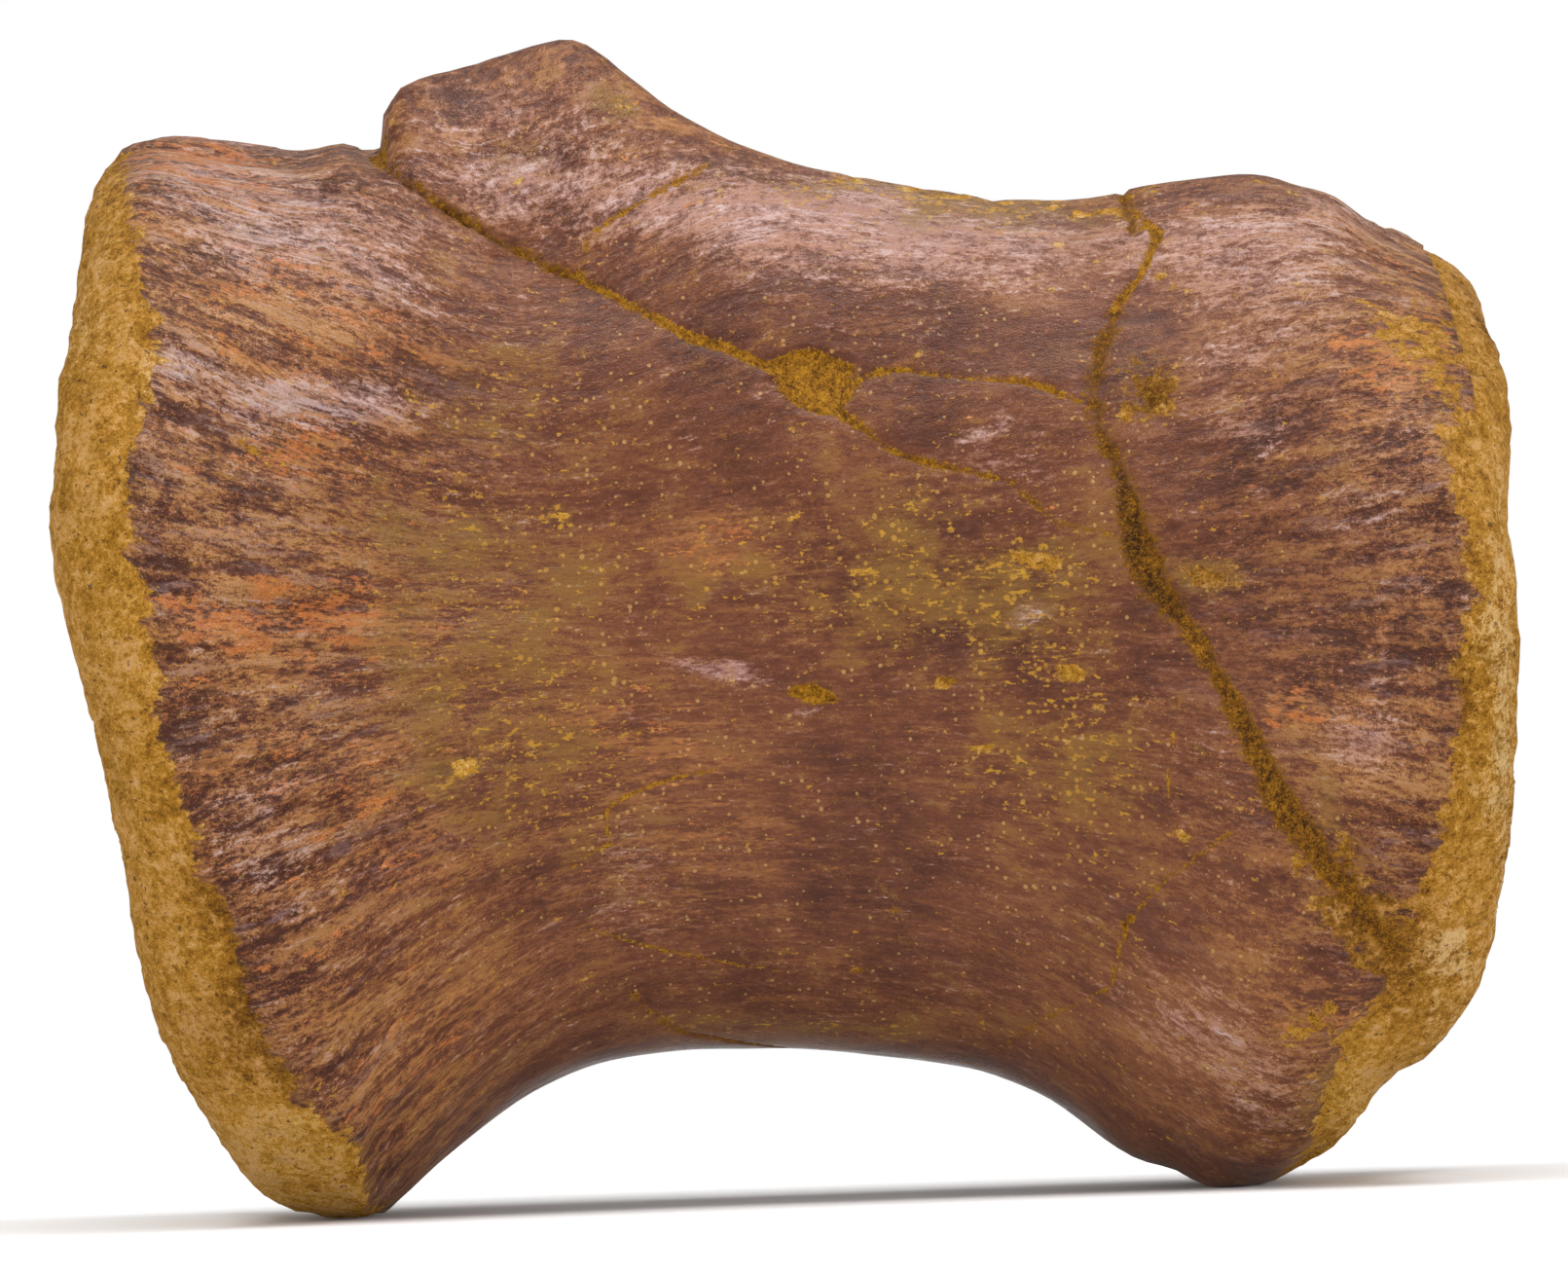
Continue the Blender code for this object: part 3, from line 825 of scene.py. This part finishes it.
    @staticmethod
    def stuck_on(points: np.ndarray, sandy: np.ndarray) -> np.ndarray:
        """How far each point lies inside a ragged patch of sandstone that is stuck to the bone.

        Args:
            points: places in millimetres, one a row.
            sandy: how strong the sandstone's tint is there.

        Returns:
            The distance in millimetres, less than 0 outside the patches.
        """
        ragged = sandy + 0.5 * perlin(points, 1.9, 51.0) + 0.4 * perlin(points, 1.0, 53.0)
        return 1.6 * (ragged - 0.75)

    def tints(self, points: np.ndarray, pixels: np.ndarray) -> dict[str, np.ndarray]:
        """How strong each tint is at each point.

        Args:
            points: places in millimetres, one a row.
            pixels: where the photograph shows them.

        Returns:
            A row of numbers for each tint, by its name. The far side has the stains turned about.
        """
        seen = pixels.copy()
        for size, shifts, reach in self.stain_warps:
            for axis, shift in enumerate(shifts):
                seen[:, axis] += reach * perlin(points, size, shift)
        behind = points[:, 1] > 0
        seen[behind, 0] = self.camera.width - seen[behind, 0]
        result = {}
        for tint, stains_and_painted_light in self.stains_and_painted_light:
            total = np.zeros(len(points))
            for stain in stains_and_painted_light:
                total += stain.at(seen)
            result[tint.value] = np.clip(total, 0, self.strongest_tint)
        return result

    @staticmethod
    def stain_ends(tints: dict[str, np.ndarray], points: np.ndarray, inset: np.ndarray) -> None:
        """Gives the two end faces broad clouds of brown, yellow and chalk in place of the sides' stains.

        Args:
            tints: how strong each tint is at each point, which is changed.
            points: places in millimetres, one a row.
            inset: how far in from an end's lip they are, as a share of the end.
        """
        deep = ramp(inset, 0.12, 0.3)
        for shift, tint in enumerate((Tint.DARK, Tint.YELLOW, Tint.PALE)):
            cloud = ramp(perlin(points, 9.0, 61.0 + 7 * shift), 0.0, 0.45)
            tints[tint.value] = tints[tint.value] * (1 - deep) + (0.9 - 0.2 * shift) * cloud * deep

    @staticmethod
    def flutes(fibre: np.ndarray) -> np.ndarray:
        """Ridges along the grain, from about -1 to 1."""
        wide = perlin(fibre * np.array((0.2, 1, 1)), 3.0, 1.0)
        return wide + 0.6 * perlin(fibre * np.array((0.28, 1, 1)), 1.5, 5.0)

    def relief(
        self,
        points: np.ndarray,
        pixels: np.ndarray,
        flute: np.ndarray,
        pits: np.ndarray,
        crust: np.ndarray,
    ) -> np.ndarray:
        """How far flutes, lumps, pits, grains and the flake raise each point.

        Args:
            points: places in millimetres, one a row.
            pixels: where the photograph shows them.
            flute: the ridges along the grain.
            pits: how deep in a pit each point is, from 0 to 1.
            crust: how far past the bone's edge they are.

        Returns:
            The rise in millimetres.
        """
        bone = self.flute_rise * flute - self.pit_depth * pits + 0.10 * perlin(points, 5.0, 2.0)
        sand = sum(height * perlin(points, size, shift) for height, size, shift in self.sand_layers)
        sand -= self.pore_depth * ramp(perlin(points, 1.7, 12.0), 0.3, 0.6)
        on_crust = ramp(crust, -0.5, 0.7)
        return bone * (1 - on_crust) + (sand - self.crust_sunk) * on_crust + self.flake(points, pixels)

    def flake(self, points: np.ndarray, pixels: np.ndarray) -> np.ndarray:
        """How far the loosened flake stands proud, most at the long crack under it.

        Args:
            points: places in millimetres, one a row.
            pixels: where the photograph shows them.

        Returns:
            The rise in millimetres.
        """
        crack = [seam for seam in self.seams if seam.name.startswith("long_crack")]
        route = np.array([row for seam in crack for row in seam.route])[:, :2]
        level = np.interp(pixels[:, 0], route[:, 0], route[:, 1])
        above = (level - pixels[:, 1]) / self.camera.pixels_per_mm
        there = (pixels[:, 0] > route[0, 0]) & (pixels[:, 0] < route[-1, 0]) & (points[:, 1] < -2)
        fade = 1 - ramp(pixels[:, 0], self.flake_full_until, route[-1, 0])
        lift = self.flake_rise * fade * np.exp(-np.maximum(above, 0) / 5)
        return np.where(there & (above > 0), lift, 0)

    @staticmethod
    def seam_relief(points: np.ndarray, inside: np.ndarray, depth: np.ndarray) -> np.ndarray:
        """How far the seams' sandy filling lies below the bone.

        Args:
            points: places in millimetres, one a row.
            inside: the distance inside a seam's edge.
            depth: that seam's depth.

        Returns:
            The rise in millimetres, which is less than 0 in a seam.
        """
        sunk = ramp(inside, -0.15, 0.2)
        return sunk * (0.15 * perlin(points, 0.8, 15.0) - depth)


class Value:
    """A socket that takes part in arithmetic: each operator adds one Math node."""

    def __init__(self, graph: "Graph", socket: bpy.types.NodeSocket) -> None:
        """Wraps a socket of a graph."""
        self.graph = graph
        self.socket = socket

    def math(self, operation: str, *numbers: "Value | float") -> "Value":
        """Adds a Math node on numbers that stand in their order."""
        node = self.graph.node("ShaderNodeMath", {"operation": operation}, dict(enumerate(numbers)))
        return Value(self.graph, node.outputs[0])

    def __add__(self, other: "Value | float") -> "Value":
        """The sum."""
        return self.math("ADD", self, other)

    def __radd__(self, other: float) -> "Value":
        """The sum, with the number first."""
        return self.math("ADD", other, self)

    def __sub__(self, other: "Value | float") -> "Value":
        """The difference."""
        return self.math("SUBTRACT", self, other)

    def __rsub__(self, other: float) -> "Value":
        """The difference, with the number first."""
        return self.math("SUBTRACT", other, self)

    def __mul__(self, other: "Value | float") -> "Value":
        """The product."""
        return self.math("MULTIPLY", self, other)

    def __rmul__(self, other: float) -> "Value":
        """The product, with the number first."""
        return self.math("MULTIPLY", other, self)

    def above(self, low: float, high: float) -> "Value":
        """Rises smoothly from 0 at low to 1 at high.

        Args:
            low: where the rise starts.
            high: where it ends.

        Returns:
            The number from 0 to 1.
        """
        node = self.graph.node(
            "ShaderNodeMapRange",
            {"interpolation_type": "SMOOTHSTEP", "clamp": True},
            {"Value": self, "From Min": low, "From Max": high},
        )
        return Value(self.graph, node.outputs[0])


class Graph:
    """A material's nodes."""

    def __init__(self, name: str) -> None:
        """Makes the material, with only its output.

        Args:
            name: the material's name.
        """
        self.material = bpy.data.materials.new(name)
        self.material.use_nodes = True
        self.tree = self.material.node_tree
        self.tree.nodes.clear()

    def node(self, kind: str, settings: dict[str, object], inputs: dict[object, object]) -> bpy.types.Node:
        """Adds a node.

        Args:
            kind: the node's type.
            settings: its settings, which are set first. A ramp's stops are pairs of place and colour.
            inputs: its sockets' values or links, by name or number.

        Returns:
            The node.
        """
        node = self.tree.nodes.new(kind)
        for name, setting in settings.items():
            if name == "stops":
                self.set_stops(node.color_ramp, setting)
            else:
                setattr(node, name, setting)
        for key, value in inputs.items():
            if isinstance(value, Value):
                self.tree.links.new(value.socket, node.inputs[key])
            elif isinstance(value, bpy.types.NodeSocket):
                self.tree.links.new(value, node.inputs[key])
            else:
                node.inputs[key].default_value = value
        return node

    @staticmethod
    def set_stops(stops: bpy.types.ColorRamp, wanted: tuple[tuple[float, Colour], ...]) -> None:
        """Gives a ramp its stops.

        Args:
            stops: the node's ramp.
            wanted: pairs of place and colour, two or more.
        """
        while len(stops.elements) < len(wanted):
            stops.elements.new(1.0)
        for element, (place, colour) in zip(stops.elements, wanted):
            element.position = place
            element.color = (*colour, 1)

    def attribute(self, name: str) -> Value:
        """A number that each point of the mesh holds."""
        node = self.node("ShaderNodeAttribute", {"attribute_name": name}, {})
        return Value(self, node.outputs["Fac"])

    def places(self) -> bpy.types.NodeSocket:
        """The place on the object, in millimetres."""
        where = self.node("ShaderNodeTexCoord", {}, {}).outputs["Object"]
        return self.stretched(where, (1 / MM,) * 3)

    def grain(self) -> bpy.types.NodeSocket:
        """The coordinates along the bone's grain, in millimetres."""
        return self.node("ShaderNodeAttribute", {"attribute_name": "fibre"}, {}).outputs["Vector"]

    def stretched(self, vector: bpy.types.NodeSocket, by: Colour) -> bpy.types.NodeSocket:
        """A vector, multiplied by another."""
        node = self.node("ShaderNodeVectorMath", {"operation": "MULTIPLY"}, {0: vector, 1: by})
        return node.outputs[0]

    def noise(
        self, vector: bpy.types.NodeSocket, size: float, detail: float = 2.0, rough: float = 0.5
    ) -> Value:
        """Cloudy noise from 0 to 1.

        Args:
            vector: the coordinates.
            size: how far apart its lumps are.
            detail: how many finer layers it has.
            rough: how strong those are.

        Returns:
            The noise.
        """
        inputs = {"Vector": vector, "Scale": 1 / size, "Detail": detail, "Roughness": rough}
        node = self.node("ShaderNodeTexNoise", {"noise_dimensions": "3D"}, inputs)
        return Value(self, node.outputs["Fac"])

    def mottle(
        self,
        vector: bpy.types.NodeSocket,
        size: float,
        squeeze: float,
        detail: float = 4.0,
        rough: float = 0.6,
    ) -> Value:
        """Noise about 0, mostly between -1 and 1, that may be drawn out along the first axis.

        Args:
            vector: the coordinates.
            size: how far apart its lumps are.
            squeeze: the first axis is multiplied by this, so less than 1 draws the lumps out.
            detail: how many finer layers it has.
            rough: how strong those are.

        Returns:
            The noise.
        """
        return (self.noise(self.stretched(vector, (squeeze, 1, 1)), size, detail, rough) - 0.5) * 7

    def dots(self, vector: bpy.types.NodeSocket, size: float) -> tuple[Value, Value]:
        """Scattered dots.

        Args:
            vector: the coordinates.
            size: how far apart they are.

        Returns:
            The distance from the nearest dot, in sizes, and a number that each dot has of its own.
        """
        node = self.node("ShaderNodeTexVoronoi", {}, {"Vector": vector, "Scale": 1 / size})
        own = self.node("ShaderNodeSeparateColor", {}, {0: node.outputs["Color"]})
        return Value(self, node.outputs["Distance"]), Value(self, own.outputs[0])

    def ramped(self, value: Value, stops: tuple[tuple[float, Colour], ...]) -> bpy.types.NodeSocket:
        """The colour at a value's place on a ramp."""
        return self.node("ShaderNodeValToRGB", {"stops": stops}, {0: value}).outputs[0]

    def mixed(
        self, share: Value | float, first: bpy.types.NodeSocket | tuple, second: bpy.types.NodeSocket | tuple
    ) -> bpy.types.NodeSocket:
        """One colour, turned into another by a share.

        Args:
            share: 0 for the first colour, 1 for the second.
            first: the first colour.
            second: the second colour.

        Returns:
            The mixed colour.
        """
        colours = [c if isinstance(c, bpy.types.NodeSocket) else (*c, 1) for c in (first, second)]
        node = self.node(
            "ShaderNodeMix", {"data_type": "RGBA"}, {"Factor": share, 6: colours[0], 7: colours[1]}
        )
        return node.outputs[2]

    def surface(
        self, colour: bpy.types.NodeSocket, rough: Value, height: Value, specular: float
    ) -> bpy.types.Material:
        """Ends the graph in a surface.

        Args:
            colour: the base colour.
            rough: the roughness.
            height: the bump's height in millimetres.
            specular: how strongly it shines.

        Returns:
            The material.
        """
        bump = self.node("ShaderNodeBump", {}, {"Strength": 1.0, "Distance": MM, "Height": height})
        inputs = {
            "Base Color": colour,
            "Roughness": rough,
            "Normal": bump.outputs[0],
            "Specular IOR Level": specular,
        }
        shader = self.node("ShaderNodeBsdfPrincipled", {}, inputs)
        self.node("ShaderNodeOutputMaterial", {}, {"Surface": shader.outputs[0]})
        return self.material


@dataclass(frozen=True)
class FossilFinish:
    """The fossil's surface: stained bone, sandstone crust and the sand in its seams."""

    bone: tuple[tuple[float, Colour], ...] = (
        (0.0, (0.045, 0.013, 0.007)),
        (0.22, (0.100, 0.031, 0.014)),
        (0.42, (0.168, 0.062, 0.023)),
        (0.6, (0.260, 0.114, 0.035)),
        (0.8, (0.40, 0.200, 0.085)),
        (1.0, (0.57, 0.38, 0.23)),
    )
    rust: Colour = (0.35, 0.10, 0.022)
    haze: Colour = (0.205, 0.088, 0.013)
    olive: Colour = (0.145, 0.072, 0.014)
    ochre: Colour = (0.36, 0.185, 0.016)
    lilac: Colour = (0.45, 0.34, 0.33)
    cream: Colour = (0.38, 0.22, 0.075)
    pit: Colour = (0.060, 0.018, 0.008)
    hollow: Colour = (0.17, 0.050, 0.016)
    mauve_and_sheen: Colour = (0.36, 0.20, 0.165)
    orange: Colour = (0.50, 0.20, 0.055)
    tawny: Colour = (0.40, 0.165, 0.048)
    slate: Colour = (0.20, 0.120, 0.115)
    crust: tuple[tuple[float, Colour], ...] = (
        (0.0, (0.080, 0.027, 0.002)),
        (0.3, (0.22, 0.090, 0.007)),
        (0.55, (0.37, 0.168, 0.015)),
        (0.8, (0.54, 0.270, 0.034)),
        (1.0, (0.73, 0.45, 0.13)),
    )
    pink: Colour = (0.54, 0.28, 0.11)
    chalk: Colour = (0.66, 0.45, 0.20)
    filling: tuple[tuple[float, Colour], ...] = (
        (0.0, (0.028, 0.010, 0.001)),
        (0.3, (0.110, 0.041, 0.003)),
        (0.6, (0.245, 0.098, 0.005)),
        (1.0, (0.46, 0.215, 0.014)),
    )
    bone_roughness: float = 0.29
    rib_roughness: float = 0.14
    sand_roughness: float = 0.9
    specular: float = 0.16

    def material(self) -> bpy.types.Material:
        """Builds the finish.

        Returns:
            The material.
        """
        graph = Graph("fossil_bone_and_crust")
        place, grain = graph.places(), graph.grain()
        rib, seam, soft = graph.attribute("rib"), graph.attribute("seam"), graph.attribute("seam_dark")
        mid = graph.mottle(grain, 0.9, 0.33)
        fine = graph.mottle(grain, 0.32, 0.5)
        grit = graph.mottle(place, 0.15, 1, 2)
        sand = graph.mottle(place, 0.52, 1, 4, 0.75)
        lumps = graph.mottle(place, 1.4, 1, 4)
        clouds = graph.mottle(place, 6.0, 1, 5)
        colour = self.bone_colour(graph, rib, mid, fine, grit, clouds, place, grain)

        # Dust round the seams, then the crust with its dusty fringe, then the sand in the seams.
        dusty = (seam + 0.25 + 0.5 * soft + 0.4 * sand + 0.35 * mid).above(0, 1.2)
        colour = graph.mixed(0.5 * dusty, colour, self.haze)
        past = graph.attribute("crust") + 0.45 * lumps + 0.4 * mid + 0.2 * sand
        fringe = (past + 0.9 + 0.5 * sand + 0.3 * grit).above(0, 1.5)
        colour = graph.mixed(0.55 * fringe, colour, self.haze)
        on_crust = past.above(-0.12, 0.12)
        crust = self.crust_colour(graph, past, sand, grit, lumps, clouds, place)
        colour = graph.mixed(on_crust, colour, crust)
        ragged = (0.05 + 0.22 * soft) * (lumps + 1.6 * sand) + soft * (0.25 * mid + 0.5 * grit)
        in_seam = ((seam + ragged) * (14 - 8 * soft)).above(-1, 1)
        # The filling's tone; where a seam is darkest, in the deep gap, it is painted shadow.
        shade = 0.70 - 0.52 * soft + 0.30 * sand + 0.22 * grit + 0.10 * lumps
        colour = graph.mixed(in_seam, colour, graph.ramped(shade, self.filling))

        # Sand is rougher than bone, and stands in grains where bone is striated.
        sandy = on_crust.math("MAXIMUM", on_crust, in_seam)
        rough = (self.bone_roughness + self.rib_roughness * rib + 0.03 * mid) * (1 - sandy)
        rough = rough + self.sand_roughness * sandy
        hard = mid * (0.012 + 0.13 * rib) + fine * (0.012 + 0.06 * rib) + 0.012 * grit
        hard = hard - 0.22 * self.hollows(graph, grain, rib)
        height = hard * (1 - sandy) + (0.15 * sand + 0.035 * grit + 0.06 * lumps) * sandy
        return graph.surface(colour, rough, height, self.specular)

    def bone_colour(
        self,
        graph: Graph,
        rib: Value,
        mid: Value,
        fine: Value,
        grit: Value,
        clouds: Value,
        place: bpy.types.NodeSocket,
        grain: bpy.types.NodeSocket,
    ) -> bpy.types.NodeSocket:
        """The bone's colour, with its stains, blots and specks.

        Args:
            graph: the material's graph.
            rib: how fluted the bone is.
            mid: mottling along the grain.
            fine: finer mottling along the grain.
            grit: the finest specks.
            clouds: wide soft clouds.
            place: the place on the object.
            grain: the coordinates along the grain.

        Returns:
            The colour.
        """
        on_bone = [tint for tint in Tint if tint is not Tint.SAND]
        dark, tan_and_painted_light, rust, ochre, pale = (graph.attribute(tint.value) for tint in on_bone)
        broad, streaks = graph.mottle(grain, 2.4, 0.3, 5), graph.mottle(grain, 1.4, 0.13, 5)
        # The bone's own ramp: lighter where tan, darker where purple, and more streaked by the rims. Part of
        # the tan and purple is painted light: a painted sheen strip on the upper slope, painted shade in the
        # band under it and painted light on the belly's lip.
        uneven = 0.3 * broad + (0.12 + 0.28 * rib) * streaks + 0.42 * mid + 0.4 * fine + 0.3 * grit
        light = (uneven + 0.3 * graph.attribute("ridge")).above(-0.75, 0.75)
        middle = 0.26 + 0.19 * tan_and_painted_light - 0.13 * dark + 0.07 * rib + 0.075 * clouds
        colour = graph.ramped(middle + (0.17 + 0.54 * rib) * (light - 0.5), self.bone)
        # A mauve haze where the lilac-white tint is strong; on the upper slopes this is a painted sheen of
        # the light from above.
        dulled_and_sheen = (pale + 0.3 * mid + 0.3 * fine + 0.15 * grit - 0.25).above(0, 0.9)
        colour = graph.mixed(0.58 * dulled_and_sheen, colour, self.mauve_and_sheen)
        # Warm and cool streaks.
        drift = graph.mottle(grain, 1.8, 0.2, 5, 0.7)
        warm = (drift + 0.3 * fine + 0.4 * rust).above(0.2, 1.1) * (0.08 + 0.28 * rib + 0.4 * rust)
        colour = graph.mixed(warm, colour, self.tawny)
        cool = (0.3 * fine - drift).above(0.3, 1.2) * (0.04 + 0.42 * rib)
        colour = graph.mixed(cool, colour, self.slate)
        # Rust and orange flecks, and the olive haze.
        flecks = graph.mottle(grain, 1.5, 0.42, 6, 0.75)
        rusty = (0.75 * rust + 0.38 * rib + 0.6 * flecks + 0.25 * fine - 0.78).above(0, 0.35)
        colour = graph.mixed(0.7 * rusty, colour, self.rust)
        orange = (0.4 * rust + 0.2 * rib + 0.7 * flecks + 0.4 * grit - 0.95).above(0, 0.3)
        colour = graph.mixed(0.6 * orange, colour, self.orange)
        hazy = (0.95 * ochre + 0.4 * clouds + 0.15 * broad + 0.2 * mid + 0.15 * fine - 0.2).above(0, 0.9)
        colour = graph.mixed(0.75 * hazy, colour, self.olive)
        # Lilac threads and veins, which are where a noise crosses 0. The lilac-white tint makes them denser
        # and whiter, and on the upper slopes this paints the sheen of the light from above.
        veins = graph.mottle(grain, 2.6, 0.12, 5, 0.65)
        veined = 1 - 2.2 * veins.math("ABSOLUTE", veins)
        threads = graph.mottle(grain, 1.0, 0.09, 3)
        thready = 1 - 5.0 * threads.math("ABSOLUTE", threads)
        threaded = (0.7 * pale + 0.35 * rib + 0.4 * thready + 0.3 * broad + 0.15 * grit - 0.75).above(0, 0.5)
        colour = graph.mixed(0.45 * threaded, colour, self.lilac)
        whitish_and_sheen = 0.45 * pale + 0.25 * rib + 0.5 * veined + 0.3 * fine + 0.3 * mid + 0.12 * grit
        colour = graph.mixed(0.62 * (whitish_and_sheen - 0.75).above(0, 0.75), colour, self.lilac)
        # Cream grains, ochre spots and blots, pits, and the fine dots.
        grains = graph.mottle(grain, 0.5, 0.55, 3, 0.7)
        speckled = (grains + 0.9 * rib + 0.35 * pale + 0.3 * grit - 1.9).above(0, 0.35)
        colour = graph.mixed(0.55 * speckled, colour, self.cream)
        spots = graph.mottle(grain, 0.62, 0.6, 3)
        spotted = (spots + 0.8 * ochre + 0.2 * grit - 1.2).above(0, 0.4)
        colour = graph.mixed(0.75 * spotted, colour, self.ochre)
        blots = graph.mottle(grain, 1.5, 0.5, 5, 0.7)
        blotted = (blots + 0.9 * ochre + 0.35 * fine + 0.2 * grit - 1.45).above(0, 0.5)
        colour = graph.mixed(0.7 * blotted, colour, self.ochre)
        holes = (0 - spots - 1.1 + 0.2 * rib).above(0, 0.3)
        colour = graph.mixed(0.6 * holes, colour, self.pit)
        colour = graph.mixed(0.75 * self.hollows(graph, grain, rib), colour, self.hollow)
        apart, own = graph.dots(place, 0.75)
        dot = (own * 0.26 + 0.05 * clouds + 0.03 * grit + 0.11 * ochre - 0.1 * rib - apart).above(0, 0.08)
        dotted = graph.mixed((0.9 * ochre).above(0, 0.8), self.cream, self.ochre)
        return graph.mixed(0.6 * dot, colour, dotted)

    @staticmethod
    def hollows(graph: Graph, grain: bpy.types.NodeSocket, rib: Value) -> Value:
        """Where the fluted bone has small pits that lie along its grain.

        Args:
            graph: the material's graph.
            grain: the coordinates along the grain.
            rib: how fluted the bone is.

        Returns:
            A number from 0 to 1.
        """
        return (0.35 * rib - graph.mottle(grain, 1.05, 0.36, 2) - 1.55).above(0, 0.3)

    def crust_colour(
        self,
        graph: Graph,
        past: Value,
        sand: Value,
        grit: Value,
        lumps: Value,
        clouds: Value,
        place: bpy.types.NodeSocket,
    ) -> bpy.types.NodeSocket:
        """The crust's colour: ochre sand by the bone and pinker, paler sand beyond, with dark pits.

        Args:
            graph: the material's graph.
            past: how far past the bone's edge, in millimetres.
            sand: noise of the size of the grains.
            grit: the finest specks.
            lumps: noise of the size of the lumps.
            clouds: wide soft clouds.
            place: the place on the object.

        Returns:
            The colour.
        """
        dark, yellow, pale = (graph.attribute(tint.value) for tint in (Tint.DARK, Tint.YELLOW, Tint.PALE))
        out = past.above(0.4, 3.2)
        uneven = 0.20 * sand + 0.13 * lumps + 0.08 * clouds + 0.14 * grit
        tone = 0.54 + 0.12 * out + 0.20 * yellow - 0.3 * dark + uneven
        colour = graph.ramped(tone, self.crust)
        pinkish = (0.30 * out + 0.35 * lumps + 0.4 * sand + 0.25 * clouds - 0.08).above(0, 1.0)
        colour = graph.mixed(0.7 * pinkish, colour, self.pink)
        chalky = (0.9 * pale + 0.35 * lumps + 0.45 * sand + 0.2 * grit - 0.42).above(0, 1.1)
        colour = graph.mixed(0.75 * chalky, colour, self.chalk)
        pores = graph.mottle(place, 0.55, 1, 2)
        return graph.mixed(0.7 * (pores - 0.85).above(0, 0.5), colour, self.pit)


@dataclass(frozen=True)
class Studio:
    """A plain pale floor under soft white light from above, in front and all round."""

    floor_radius: float = 0.32
    floor_colour: Colour = (0.88, 0.88, 0.88)
    room_light: float = 0.50
    room_seen: float = 1.0

    def build(self) -> None:
        """Adds the floor, the lights and the world's light."""
        self.floor()
        self.softbox("overhead_light", (0.0, -0.12, 0.75), (0.9, 0.6), 7.2, shine=False)
        self.softbox("left_light", (-0.8, -0.5, 0.15), (0.6, 0.4), 3.6, shine=False)
        self.softbox("right_light", (0.8, -0.5, 0.15), (0.6, 0.4), 5.5, shine=False)
        self.softbox("low_light", (0.0, -0.9, 0.06), (1.0, 0.3), 2.6, shine=False)
        self.softbox("sheen_light", (0.05, -0.05, 0.75), (0.9, 0.2), 10.5, shine=True)
        world = bpy.data.worlds.new("white_room")
        bpy.context.scene.world = world
        world.use_nodes = True
        nodes, links = world.node_tree.nodes, world.node_tree.links
        background = nodes["Background"]
        background.inputs["Color"].default_value = (1, 1, 1, 1)
        strength = nodes.new("ShaderNodeMapRange")
        strength.inputs["To Min"].default_value = self.room_light
        strength.inputs["To Max"].default_value = self.room_seen
        links.new(nodes.new("ShaderNodeLightPath").outputs["Is Camera Ray"], strength.inputs["Value"])
        links.new(strength.outputs[0], background.inputs["Strength"])
        bpy.context.scene.view_settings.view_transform = "Standard"

    def floor(self) -> None:
        """Adds the floor."""
        mesh = bmesh.new()
        bmesh.ops.create_circle(mesh, cap_ends=True, segments=96, radius=self.floor_radius)
        data = bpy.data.meshes.new("floor")
        mesh.to_mesh(data)
        mesh.free()
        floor = bpy.data.objects.new("floor", data)
        bpy.context.scene.collection.objects.link(floor)
        material = bpy.data.materials.new("pale_floor")
        material.use_nodes = True
        shader = material.node_tree.nodes["Principled BSDF"]
        shader.inputs["Base Color"].default_value = (*self.floor_colour, 1)
        shader.inputs["Roughness"].default_value = 0.9
        data.materials.append(material)

    @staticmethod
    def softbox(name: str, place: Colour, size: tuple[float, float], power: float, shine: bool) -> None:
        """Adds a soft light that points at the middle of the fossil.

        Args:
            name: the light's name.
            place: where it is, in metres.
            size: its width and height in metres.
            power: its power in watts.
            shine: whether it gives only reflections, or else only the light itself.
        """
        data = bpy.data.lights.new(name, "AREA")
        data.shape = "RECTANGLE"
        data.size, data.size_y = size
        data.energy = power
        light = bpy.data.objects.new(name, data)
        bpy.context.scene.collection.objects.link(light)
        light.visible_diffuse, light.visible_glossy = not shine, shine
        light.location = place
        light.rotation_euler = (Vector(place) - Vector((0, 0, 0.05))).to_track_quat("Z", "Y").to_euler()


def main() -> None:
    """Builds the fossil, its finish, the studio and the camera."""
    logging.basicConfig(level=logging.INFO, format="%(message)s")
    camera = PhotoCamera()
    camera.place()
    piece = FossilSkin(camera).build()
    piece.data.materials.append(FossilFinish().material())
    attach(piece, "root")
    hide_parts(NODE)
    triangles = sum(len(p.vertices) - 2 for p in piece.data.polygons)
    log.info("%s: %d triangles", piece.name, triangles)
    Studio().build()


if __name__ == "__main__":
    main()
